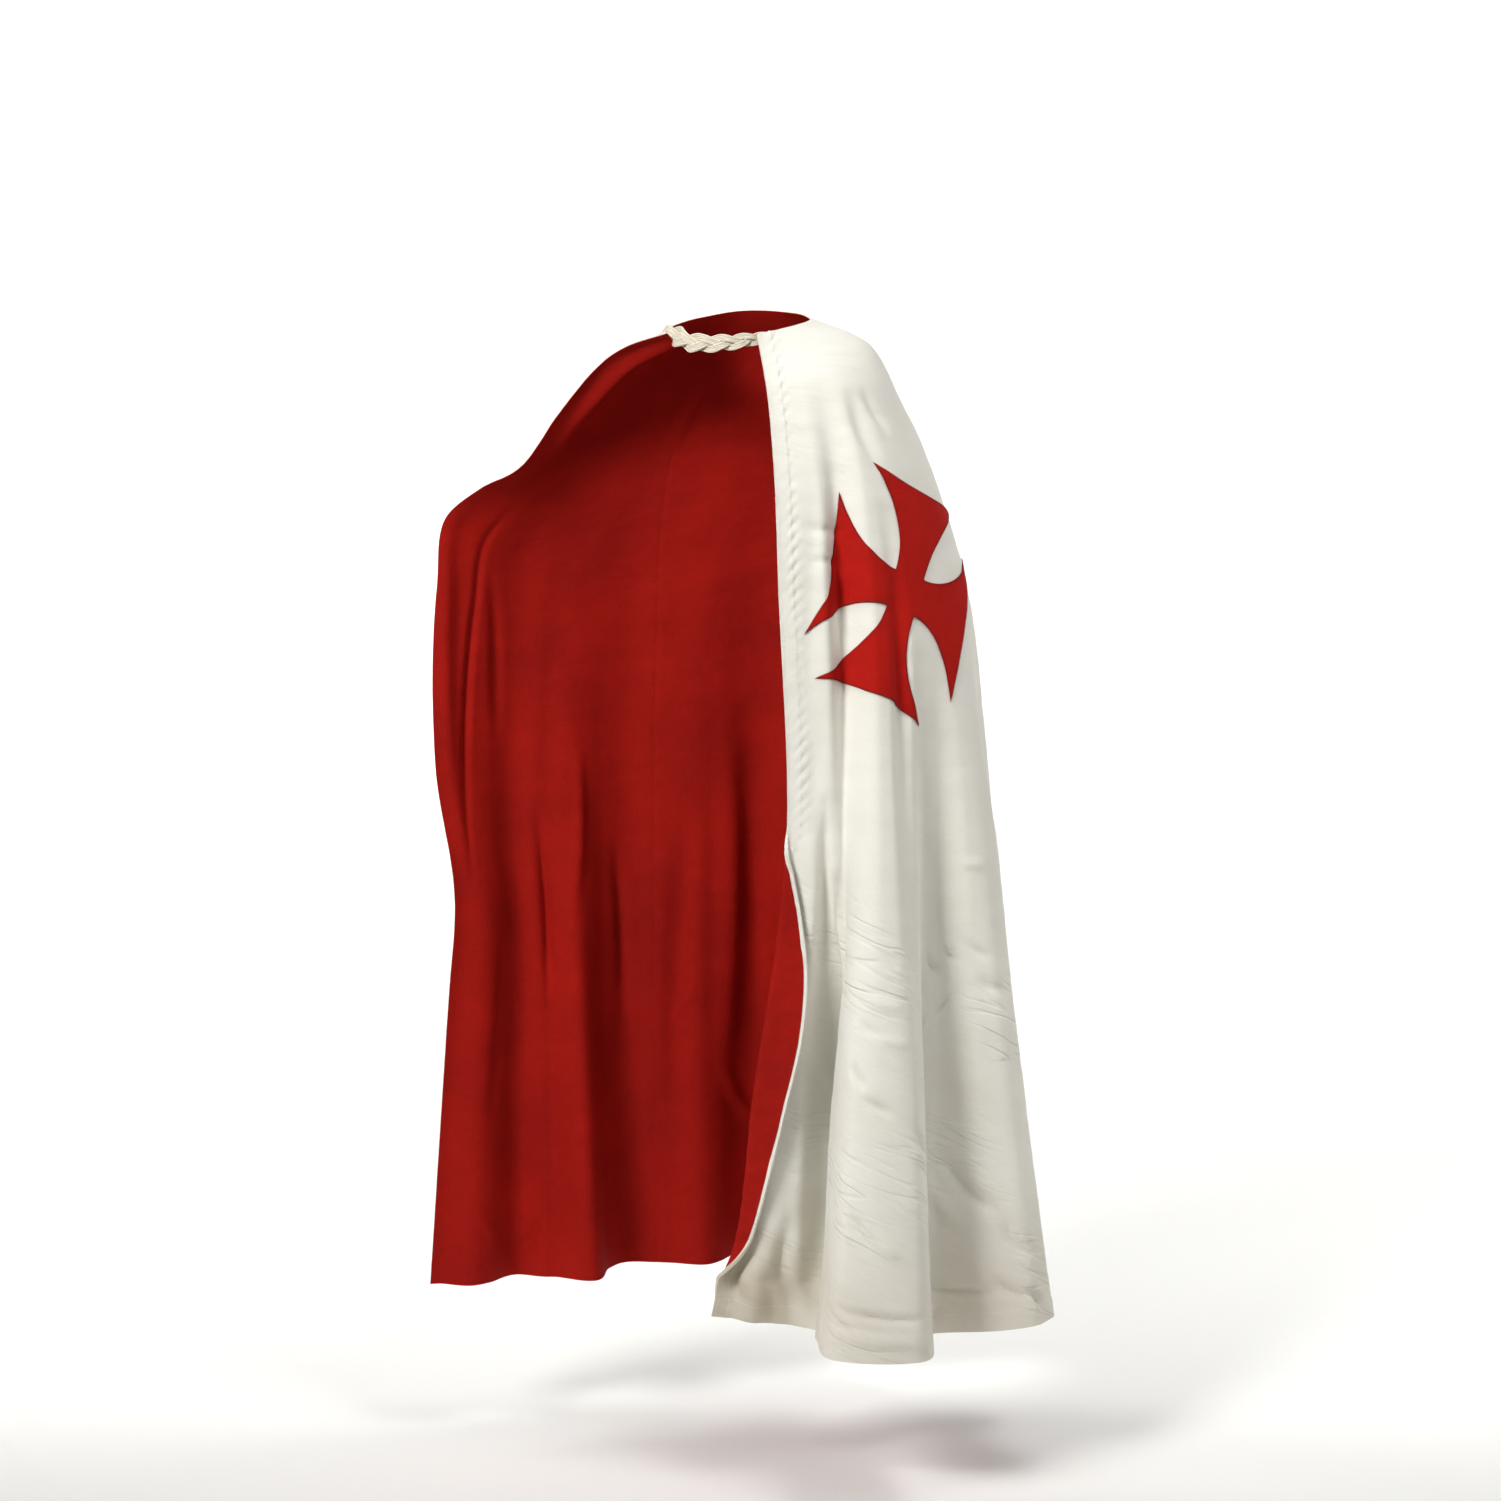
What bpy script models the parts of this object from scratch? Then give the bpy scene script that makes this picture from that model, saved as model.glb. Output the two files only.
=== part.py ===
"""A lined cloak in its worn form, with a cross on its left side and a plaited neck cord.

Lengths are in metres and +Z is up. +X is the garment's left, its front faces -Y, and the
origin is the middle of the neck opening, level with its front corners.

The cloth is one surface. Guide curves run down it from neck to hem, folds push it in or
out, and its left front edge curls outward. The shell and the lining are walls on either
side of that surface, parted at their seams.
"""

import math
from collections import namedtuple

import bpy
import numpy as np

# Cloth walls, and the clearance between neighbouring pieces
SHELL_THICK = 0.0016
LINING_THICK = 0.0010
CROSS_THICK = 0.0010
CLEARANCE = 0.0003

# A guide is a curve down the cloth. Its place is its share of the way round from the right
# front edge to the left one. A station's drop is its share of the way from neck to hem,
# across is X, depth is Y and level is Z.
Guide = namedtuple("Guide", "name place stations")
Station = namedtuple("Station", "drop across depth level")

GUIDES = (
    Guide("right edge", 0.00, (
        Station(0.00, -0.102, -0.040, 0.000),
        Station(0.07, -0.178, -0.005, -0.029),
        Station(0.15, -0.255, 0.030, -0.112),
        Station(0.21, -0.312, 0.045, -0.190),
        Station(0.26, -0.372, 0.052, -0.222),
        Station(0.31, -0.420, 0.055, -0.262),
        Station(0.38, -0.434, 0.055, -0.360),
        Station(0.55, -0.438, 0.055, -0.620),
        Station(0.69, -0.412, 0.055, -0.835),
        Station(0.75, -0.421, 0.058, -0.945),
        Station(1.00, -0.454, 0.065, -1.386),
    )),
    Guide("right back", 0.12, (
        Station(0.00, -0.088, 0.030, 0.012),
        Station(0.12, -0.180, 0.095, -0.110),
        Station(0.25, -0.260, 0.125, -0.270),
        Station(0.40, -0.285, 0.130, -0.470),
        Station(0.70, -0.285, 0.125, -0.930),
        Station(1.00, -0.280, 0.105, -1.386),
    )),
    Guide("back", 0.30, (
        Station(0.00, 0.000, 0.085, 0.030),
        Station(0.06, 0.000, 0.130, -0.035),
        Station(0.13, 0.000, 0.152, -0.130),
        Station(0.26, 0.000, 0.168, -0.320),
        Station(0.55, 0.000, 0.185, -0.730),
        Station(1.00, 0.000, 0.215, -1.384),
    )),
    Guide("left back", 0.47, (
        Station(0.00, 0.070, 0.055, 0.028),
        Station(0.06, 0.135, 0.085, -0.020),
        Station(0.13, 0.205, 0.110, -0.112),
        Station(0.26, 0.262, 0.130, -0.305),
        Station(0.55, 0.292, 0.140, -0.725),
        Station(1.00, 0.312, 0.165, -1.390),
    )),
    Guide("left side", 0.63, (
        Station(0.00, 0.098, 0.000, 0.020),
        Station(0.06, 0.180, 0.000, -0.016),
        Station(0.13, 0.228, -0.005, -0.107),
        Station(0.28, 0.308, -0.020, -0.320),
        Station(0.46, 0.346, -0.030, -0.575),
        Station(0.72, 0.374, -0.045, -0.955),
        Station(1.00, 0.410, -0.065, -1.386),
    )),
    Guide("left front", 0.82, (
        Station(0.00, 0.078, -0.055, 0.012),
        Station(0.06, 0.128, -0.095, -0.040),
        Station(0.13, 0.163, -0.122, -0.128),
        Station(0.26, 0.192, -0.150, -0.310),
        Station(0.50, 0.200, -0.185, -0.645),
        Station(0.75, 0.202, -0.225, -1.015),
        Station(1.00, 0.200, -0.265, -1.396),
    )),
    Guide("left edge", 1.00, (
        Station(0.00, 0.024, -0.098, 0.000),
        Station(0.05, 0.036, -0.132, -0.065),
        Station(0.13, 0.046, -0.160, -0.170),
        Station(0.26, 0.053, -0.178, -0.340),
        Station(0.52, 0.064, -0.180, -0.715),
        Station(0.76, 0.022, -0.162, -1.060),
        Station(0.95, -0.012, -0.146, -1.305),
        Station(1.00, -0.036, -0.140, -1.372),
    )),
)

# A fold pushes the cloth out, or in where its push is below zero, and its lean moves it on
# toward the left edge as well. It spreads by its half width on either side of its place,
# and the share flat of that is level. It grows from its start drop to its peak drop, then
# changes to the share hold of its push at the hem.
Fold = namedtuple("Fold", "name place half_width flat push lean start peak hold")

FOLDS = (
    Fold("right lobe", 0.040, 0.035, 0.0, -0.022, 0.000, 0.22, 1.00, 1.0),
    Fold("right valley", 0.090, 0.032, 0.0, 0.030, 0.000, 0.18, 1.00, 1.0),
    Fold("right tongue", 0.150, 0.030, 0.0, -0.055, 0.000, 0.30, 1.00, 1.0),
    Fold("right hollow", 0.200, 0.034, 0.0, 0.030, 0.000, 0.15, 1.00, 1.0),
    Fold("back right ridge", 0.262, 0.038, 0.0, -0.034, 0.000, 0.22, 1.00, 1.0),
    Fold("back right valley", 0.315, 0.036, 0.0, 0.036, 0.000, 0.12, 1.00, 1.0),
    Fold("back middle ridge", 0.372, 0.038, 0.0, -0.044, 0.000, 0.25, 1.00, 1.0),
    Fold("back left valley", 0.430, 0.040, 0.0, 0.042, 0.000, 0.16, 1.00, 1.0),
    Fold("back left ridge", 0.490, 0.036, 0.0, -0.040, 0.000, 0.28, 1.00, 1.0),
    Fold("side ridge", 0.545, 0.034, 0.0, 0.030, 0.000, 0.20, 1.00, 1.0),
    Fold("side dip", 0.600, 0.030, 0.0, -0.028, 0.000, 0.35, 1.00, 1.0),
    Fold("side lobe", 0.670, 0.048, 0.2, 0.050, 0.000, 0.35, 1.00, 1.0),
    Fold("side valley", 0.742, 0.040, 0.2, -0.075, 0.000, 0.30, 1.00, 1.0),
    Fold("front ridge", 0.830, 0.068, 0.35, 0.080, 0.000, 0.30, 1.00, 1.0),
    Fold("cross pleat", 0.880, 0.046, 0.0, -0.034, 0.010, 0.06, 0.28, 0.15),
    Fold("cross groove", 0.795, 0.024, 0.0, -0.012, 0.000, 0.18, 0.40, 0.0),
    Fold("front valley", 0.930, 0.048, 0.0, -0.060, 0.000, 0.35, 1.00, 1.0),
)
FOLD_GROWTH = 1.25

# The left front edge: a bend of fixed cloth length, then a flap of the given width, turned
# outward through the given angle in degrees.
Curl = namedtuple("Curl", "drop turn width")
BEND_LENGTH = 0.025
EDGE_EASE = 5.0
CURL_TURN_LIMIT = 178.0

EDGE_CURL = (
    Curl(0.00, 0.0, 0.016),
    Curl(0.51, 0.0, 0.016),
    Curl(0.57, 150.0, 0.022),
    Curl(0.62, 178.0, 0.042),
    Curl(0.69, 178.0, 0.056),
    Curl(0.78, 178.0, 0.046),
    Curl(0.87, 178.0, 0.028),
    Curl(0.93, 160.0, 0.018),
    Curl(0.97, 60.0, 0.016),
    Curl(1.00, 15.0, 0.016),
)

# Panels. A way counts along a section: 0 to 1 is the draped cloth, 1 to 2 the bend of the
# left edge and 2 to 3 its flap.
BEND_START, FLAP_START, FREE_EDGE = 1.0, 2.0, 3.0
RIGHT_SEAM = 0.225
LEFT_SEAM = 0.535
RIGHT_COLUMNS = 14
BACK_COLUMNS = 20
Stretch = namedtuple("Stretch", "end columns")
LEFT_STRETCHES = (
    Stretch(0.83, 16),
    Stretch(0.93, 12),
    Stretch(BEND_START, 4),
    Stretch(FLAP_START, 5),
    Stretch(FREE_EDGE, 2),
)
ROWS = 18
ROW_CROWDING = 1.35

# The cross: four alike arms that spread along a power curve to hollow ends
CROSS_WAY = 0.786
CROSS_DROP = 0.295
CROSS_TILT = math.radians(-28.0)
CROSS_REACH = 0.156
CROSS_SIDE_REACH = 0.148
CROSS_WAIST = 0.026
CROSS_SPREAD = 0.107
CROSS_FLARE = 2.0
CROSS_END_HOLLOW = 0.014
CROSS_SLICES = 3
CROSS_ARMS = 4

# The neck cord, a plait of three flattened strands that tapers from its right end to its left
PLAIT_STRANDS = 3
PLAIT_TURNS = 2.5
PLAIT_RINGS = 36
RING_POINTS = 8
PLAIT_SWAY = 0.0115
PLAIT_DEPTH = 0.0050
STRAND_HALF_WIDTH = 0.0055
STRAND_HALF_DEPTH = 0.0032
PLAIT_LEFT_SCALE = 0.55
Stop = namedtuple("Stop", "across depth level")
PLAIT_ROUTE = (
    Stop(-0.1020, -0.0408, -0.002),
    Stop(-0.068, -0.076, -0.010),
    Stop(-0.022, -0.094, -0.011),
    Stop(0.020, -0.090, -0.006),
    Stop(0.0558, -0.0694, -0.0022),
)

# Shading, the step that slopes are measured over, and the decimals that tell points apart
SHARP_ANGLE = math.radians(55.0)
DIFFERENCE = 0.001
MERGE_DIGITS = 6

Finish = namedtuple("Finish", "color roughness")
WHITE_CLOTH = Finish("#E6E2D5", 0.90)
RED_LINING = Finish("#96160F", 0.85)
RED_CROSS = Finish("#AE1C17", 0.88)
CREAM_CORD = Finish("#DED5C3", 0.80)


def smooth(knots, values, at):
    """A cubic curve through the values at the knots, read at the given places."""
    knots = np.asarray(knots, float)
    values = np.asarray(values, float)
    at = np.atleast_1d(np.asarray(at, float))
    slopes = np.gradient(values, knots, axis=0)
    cell = np.clip(np.searchsorted(knots, at, side="right") - 1, 0, len(knots) - 2)
    span = knots[cell + 1] - knots[cell]
    part = (at - knots[cell]) / span
    if values.ndim > 1:
        span = span[:, None]
        part = part[:, None]
    rest = 1.0 - part
    start = values[cell] * (1.0 + 2.0 * part) + slopes[cell] * part * span
    end = values[cell + 1] * (3.0 - 2.0 * part) - slopes[cell + 1] * rest * span
    return start * rest ** 2 + end * part ** 2


def unit(vectors):
    """The vectors at length one."""
    return vectors / np.linalg.norm(vectors, axis=-1, keepdims=True)


def guided(drop, places):
    """Points of the unfolded section at one drop."""
    points = []
    for guide in GUIDES:
        drops = [station.drop for station in guide.stations]
        spots = [station[1:] for station in guide.stations]
        points.append(smooth(drops, spots, drop)[0])
    return smooth([guide.place for guide in GUIDES], points, places)


def facing(section, drop, places):
    """Outward directions of a section function, and its steps round and down."""
    places = np.asarray(places, float)
    along = (section(drop, places + DIFFERENCE) - section(drop, places - DIFFERENCE)) / (2 * DIFFERENCE)
    down = (section(drop + DIFFERENCE, places) - section(drop - DIFFERENCE, places)) / (2 * DIFFERENCE)
    return unit(np.cross(along, down)), along


def fold_growth(fold, drop):
    """A fold's share of its push at one drop."""
    rise = np.clip((drop - fold.start) / (fold.peak - fold.start), 0.0, 1.0)
    if drop <= fold.peak:
        return rise ** FOLD_GROWTH
    return 1.0 + (fold.hold - 1.0) * (drop - fold.peak) / (1.0 - fold.peak)


def fold_moves(drop, places):
    """How far the folds push the cloth out, and how far on, at one drop."""
    push = np.zeros(len(places))
    lean = np.zeros(len(places))
    for fold in FOLDS:
        reach = np.abs(places - fold.place) / fold.half_width
        slope = np.clip((reach - fold.flat) / (1.0 - fold.flat), 0.0, 1.0)
        bump = (0.5 + 0.5 * np.cos(math.pi * slope)) * fold_growth(fold, min(drop, 1.0))
        push += fold.push * bump
        lean += fold.lean * bump
    return push[:, None], lean[:, None]


def draped(drop, places):
    """Points of the folded section at one drop."""
    places = np.asarray(places, float)
    outward, step = facing(guided, drop, places)
    push, lean = fold_moves(drop, places)
    return guided(drop, places) + push * outward + lean * unit(step)


def edge_curl(drop):
    """The turn, flap width and reach of the left front edge at one drop."""
    drops = [curl.drop for curl in EDGE_CURL]
    degrees, width = smooth(drops, [curl[1:] for curl in EDGE_CURL], drop)[0]
    turn = math.radians(np.clip(degrees, 1.0, CURL_TURN_LIMIT))
    radius = BEND_LENGTH / turn
    if turn < math.pi / 2:
        reach = radius * math.sin(turn) + width * math.cos(turn)
    else:
        reach = radius
    return turn, width, radius, reach


def section(drop, ways):
    """Points and outward directions of the cloth at one drop, at the given ways."""
    ways = np.asarray(ways, float)
    turn, width, radius, reach = edge_curl(drop)
    _, edge_step = facing(draped, drop, [1.0])
    last = 1.0 - reach / np.linalg.norm(edge_step[0])
    places = np.minimum(ways, BEND_START)
    places = places - (1.0 - last) * places ** EDGE_EASE
    points = draped(drop, places)
    outward, step = facing(draped, drop, places)
    onward = unit(step)
    angle = turn * np.clip(ways - BEND_START, 0.0, 1.0)[:, None]
    flap = width * np.clip(ways - FLAP_START, 0.0, 1.0)[:, None]
    bend = radius * (np.sin(angle) * onward + (1.0 - np.cos(angle)) * outward)
    free = flap * (np.cos(angle) * onward + np.sin(angle) * outward)
    turned = np.cos(angle) * outward - np.sin(angle) * onward
    return points + bend + free, turned


def cloth_grid(drops, ways):
    """Points and outward directions over rows of drops and columns of ways."""
    rows = [section(drop, ways) for drop in drops]
    return np.array([row[0] for row in rows]), np.array([row[1] for row in rows])


def linear(channel):
    """One channel of a screen colour as linear light."""
    return channel / 12.92 if channel <= 0.04045 else ((channel + 0.055) / 1.055) ** 2.4


def finish_material(name, finish):
    """A plain material with the finish's colour and roughness."""
    material = bpy.data.materials.new(name)
    material.use_nodes = True
    shader = material.node_tree.nodes["Principled BSDF"]
    levels = [int(finish.color[i:i + 2], 16) / 255.0 for i in (1, 3, 5)]
    shader.inputs["Base Color"].default_value = (*[linear(level) for level in levels], 1.0)
    shader.inputs["Roughness"].default_value = finish.roughness
    shader.inputs["Metallic"].default_value = 0.0
    return material


def add_object(name, points, faces, finish):
    """A smooth-shaded mesh object in the scene."""
    mesh = bpy.data.meshes.new(name)
    mesh.from_pydata([tuple(point) for point in points], [], faces)
    mesh.materials.append(finish_material(name, finish))
    mesh.shade_smooth()
    mesh.set_sharp_from_angle(angle=SHARP_ANGLE)
    thing = bpy.data.objects.new(name, mesh)
    bpy.context.scene.collection.objects.link(thing)
    return thing


def grid_triangles(rows, columns):
    """Triangles of a grid of points, counted row by row, that face outward."""
    triangles = []
    for row in range(rows - 1):
        for column in range(columns - 1):
            corner = row * columns + column
            below = corner + columns
            triangles.append((corner, corner + 1, below))
            triangles.append((corner + 1, below + 1, below))
    return triangles


def part_seams(points, seam_before, seam_after):
    """Draw a panel's seam columns back by half the clearance."""
    if seam_before:
        points[:, 0] += unit(points[:, 1] - points[:, 0]) * CLEARANCE / 2
    if seam_after:
        points[:, -1] += unit(points[:, -2] - points[:, -1]) * CLEARANCE / 2


def add_wall(name, points, outward, inner, outer, finish):
    """A closed wall between two offsets from a grid of points."""
    rows, columns = points.shape[:2]
    count = rows * columns
    outside = (points + outward * outer).reshape(-1, 3)
    inside = (points + outward * inner).reshape(-1, 3)
    faces = grid_triangles(rows, columns)
    faces += [(c + count, b + count, a + count) for a, b, c in faces]
    top = list(range(columns))
    bottom = [count - columns + column for column in range(columns)]
    start = [row * columns for row in range(rows)]
    end = [row * columns + columns - 1 for row in range(rows)]
    for rim in (top, end, bottom[::-1], start[::-1]):
        for first, second in zip(rim, rim[1:]):
            faces.append((second, first, first + count))
            faces.append((second, first + count, second + count))
    return add_object(name, np.vstack([outside, inside]), faces, finish)


def row_drops():
    """Drops of the rows, closer together near the neck."""
    shares = np.linspace(0.0, 1.0, ROWS + 1)
    return shares ** ROW_CROWDING


def panel_ways():
    """Each panel's ways along the sections, with its seams."""
    right = np.linspace(0.0, RIGHT_SEAM, RIGHT_COLUMNS + 1)
    back = np.linspace(RIGHT_SEAM, LEFT_SEAM, BACK_COLUMNS + 1)
    left = np.array([LEFT_SEAM])
    for stretch in LEFT_STRETCHES:
        left = np.concatenate([left, np.linspace(left[-1], stretch.end, stretch.columns + 1)[1:]])
    return {
        "front_right": (right, False, True),
        "back": (back, True, True),
        "front_left": (left, True, False),
    }


def add_panels():
    """The shell and lining of each panel."""
    shell = CLEARANCE / 2
    lining = -CLEARANCE / 2
    for place, (ways, seam_before, seam_after) in panel_ways().items():
        points, outward = cloth_grid(row_drops(), ways)
        part_seams(points, seam_before, seam_after)
        add_wall("shell_" + place, points, outward, shell, shell + SHELL_THICK, WHITE_CLOTH)
        add_wall("lining_" + place, points, outward, lining - LINING_THICK, lining, RED_LINING)


def arm_quads(reach):
    """One flat arm of the cross along +X, with its quarter of the middle, as convex quads."""
    shares = np.linspace(0.0, 1.0, CROSS_SLICES + 1)
    outs = CROSS_WAIST + (reach - CROSS_WAIST) * shares
    widths = CROSS_WAIST + (CROSS_SPREAD - CROSS_WAIST) * shares ** CROSS_FLARE
    middles = outs.copy()
    middles[-1] -= CROSS_END_HOLLOW
    halves = []
    for near in range(CROSS_SLICES):
        far = near + 1
        halves.append(np.array([
            (middles[near], 0.0),
            (middles[far], 0.0),
            (outs[far], widths[far]),
            (outs[near], widths[near]),
        ]))
    mirrored = [half[::-1] * (1.0, -1.0) for half in halves]
    middle = np.array([(0, 0), (CROSS_WAIST, 0), (CROSS_WAIST, CROSS_WAIST), (0, CROSS_WAIST)])
    return halves + mirrored + [middle]


def cross_quads():
    """The flat cross as convex quads: side arms, then upright ones, in turn."""
    quads = []
    for arm in range(CROSS_ARMS):
        reach = CROSS_REACH if arm % 2 else CROSS_SIDE_REACH
        angle = arm * 2.0 * math.pi / CROSS_ARMS + CROSS_TILT
        turn = np.array([(math.cos(angle), math.sin(angle)), (-math.sin(angle), math.cos(angle))])
        quads += [quad @ turn for quad in arm_quads(reach)]
    return quads


def side_of(point, start, end):
    """Above zero where a point lies to the left of a line."""
    return (end[0] - start[0]) * (point[1] - start[1]) - (end[1] - start[1]) * (point[0] - start[0])


def clip_convex(polygon, window):
    """The part of a convex polygon that lies inside a convex window."""
    for start, end in zip(window, np.roll(window, -1, axis=0)):
        kept = []
        for point, following in zip(polygon, polygon[1:] + polygon[:1]):
            here = side_of(point, start, end)
            there = side_of(following, start, end)
            if here >= 0:
                kept.append(point)
            if here * there < 0:
                kept.append(point + (following - point) * here / (here - there))
        polygon = kept
        if len(polygon) < 3:
            return []
    return polygon


def flat_places(points, drops, ways):
    """Where each point of a panel lies on the flat cloth, from the middle of the cross."""
    across_steps = np.linalg.norm(np.diff(points, axis=1), axis=2)
    across = np.pad(np.cumsum(across_steps, axis=1), ((0, 0), (1, 0)))
    across -= np.array([np.interp(CROSS_WAY, ways, row) for row in across])[:, None]
    middle = int(np.argmin(np.abs(ways - CROSS_WAY)))
    down_steps = np.linalg.norm(np.diff(points[:, middle], axis=0), axis=1)
    down = np.concatenate([[0.0], np.cumsum(down_steps)])
    down -= np.interp(CROSS_DROP, drops, down)
    return np.stack([-across, -np.broadcast_to(down[:, None], across.shape)], axis=2)


def add_cross():
    """The cross, laid on the facets of the left front shell."""
    drops = row_drops()
    ways, seam_before, seam_after = panel_ways()["front_left"]
    points, outward = cloth_grid(drops, ways)
    part_seams(points, seam_before, seam_after)
    flat = flat_places(points, drops, ways).reshape(-1, 2)
    near_face = CLEARANCE / 2 + SHELL_THICK + CLEARANCE
    under = (points + outward * near_face).reshape(-1, 3)
    over = (points + outward * (near_face + CROSS_THICK)).reshape(-1, 3)
    quads = cross_quads()
    spots = {}
    lower, upper, faces = [], [], []
    for triangle in grid_triangles(*points.shape[:2]):
        corners = np.array(triangle)
        window = flat[corners]
        if np.abs(window).min(axis=0).max() > CROSS_REACH * math.sqrt(2.0):
            continue
        basis = np.linalg.inv(np.vstack([window.T, np.ones(3)]))
        for quad in quads:
            patch = clip_convex(list(quad), window)
            face = []
            for spot in patch:
                weights = basis @ (*spot, 1.0)
                low = weights @ under[corners]
                key = tuple(np.round(low, MERGE_DIGITS))
                if key not in spots:
                    spots[key] = len(lower)
                    lower.append(low)
                    upper.append(weights @ over[corners])
                if spots[key] not in face:
                    face.append(spots[key])
            if len(face) > 2:
                faces.append(face)
    count = len(lower)
    solid = [[index + count for index in face] for face in faces]
    solid += [face[::-1] for face in faces]
    edges = {(a, b) for face in faces for a, b in zip(face, face[1:] + face[:1])}
    for a, b in sorted(edges):
        if (b, a) not in edges:
            solid.append((a, b, b + count, a + count))
    return add_object("cross_applique", np.vstack([lower, upper]), solid, RED_CROSS)


def add_plait():
    """The plaited neck cord, one closed tube for each strand."""
    shares = np.linspace(0.0, 1.0, PLAIT_RINGS)
    middle = smooth(np.linspace(0.0, 1.0, len(PLAIT_ROUTE)), PLAIT_ROUTE, shares)
    onward = unit(np.gradient(middle, axis=0))
    forward = unit(np.cross(onward, (0.0, 0.0, -1.0)))
    upward = np.cross(forward, onward)
    scale = (1.0 + (PLAIT_LEFT_SCALE - 1.0) * shares)[:, None]
    around = 2.0 * math.pi * np.arange(RING_POINTS) / RING_POINTS
    for strand in range(PLAIT_STRANDS):
        phase = 2.0 * math.pi * (PLAIT_TURNS * shares + strand / PLAIT_STRANDS)[:, None]
        rise = scale * (PLAIT_SWAY * np.sin(phase) + STRAND_HALF_WIDTH * np.cos(around))
        ahead = scale * (PLAIT_DEPTH * np.sin(2.0 * phase) + STRAND_HALF_DEPTH * np.sin(around))
        rings = middle[:, None] + rise[:, :, None] * upward[:, None]
        rings = rings + ahead[:, :, None] * forward[:, None]
        faces = [tuple(range(RING_POINTS))[::-1]]
        for ring in range(PLAIT_RINGS - 1):
            base = ring * RING_POINTS
            for point in range(RING_POINTS):
                here = base + point
                beside = base + (point + 1) % RING_POINTS
                faces.append((here, beside, beside + RING_POINTS, here + RING_POINTS))
        faces.append(tuple(range((PLAIT_RINGS - 1) * RING_POINTS, PLAIT_RINGS * RING_POINTS)))
        name = "neck_cord_strand_{}".format(strand + 1)
        add_object(name, rings.reshape(-1, 3), faces, CREAM_CORD)


def main():
    """Build the cloak in an empty scene."""
    for thing in list(bpy.data.objects):
        bpy.data.objects.remove(thing)
    add_panels()
    add_cross()
    add_plait()


if __name__ == "__main__":
    main()
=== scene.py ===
"""Looks of a lined cloak in its worn form: drilled cotton, red lining, sewn cross and plaited cord.

Lengths are in metres and +Z is up. +X is the garment's left, its front faces -Y, and the
origin is the middle of the neck opening, level with its front corners.
"""

import math
from collections import namedtuple
from functools import lru_cache

import bpy
import numpy as np
from bpy.props import FloatProperty, FloatVectorProperty, PointerProperty
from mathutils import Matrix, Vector


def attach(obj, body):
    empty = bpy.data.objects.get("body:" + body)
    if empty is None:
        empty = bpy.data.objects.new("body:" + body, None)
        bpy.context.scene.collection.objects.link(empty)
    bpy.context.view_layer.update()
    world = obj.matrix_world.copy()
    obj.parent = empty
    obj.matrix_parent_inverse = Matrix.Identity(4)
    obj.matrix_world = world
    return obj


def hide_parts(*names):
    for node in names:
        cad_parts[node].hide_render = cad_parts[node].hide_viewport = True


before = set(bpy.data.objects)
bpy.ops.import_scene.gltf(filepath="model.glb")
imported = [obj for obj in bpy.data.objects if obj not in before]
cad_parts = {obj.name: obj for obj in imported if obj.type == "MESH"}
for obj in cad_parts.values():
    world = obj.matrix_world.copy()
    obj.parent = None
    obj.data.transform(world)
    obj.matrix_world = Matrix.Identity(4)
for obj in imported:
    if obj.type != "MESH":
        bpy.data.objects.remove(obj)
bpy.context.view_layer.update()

bl_info = {
    "name": "Lined Cloak",
    "version": (1, 0, 0),
    "blender": (4, 5, 0),
    "location": "View3D > Sidebar > Cloak",
    "description": "Builds the looks of a lined cloak with a sewn cross around its packed solids",
    "category": "Add Mesh",
}

BODY = "root"

# A guide is a curve down the cloth. Its place is its share of the way round from the right
# front edge to the left one. A station's drop is its share of the way from neck to hem,
# across is X, depth is Y and level is Z.
Guide = namedtuple("Guide", "name place stations")
Station = namedtuple("Station", "drop across depth level")

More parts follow.
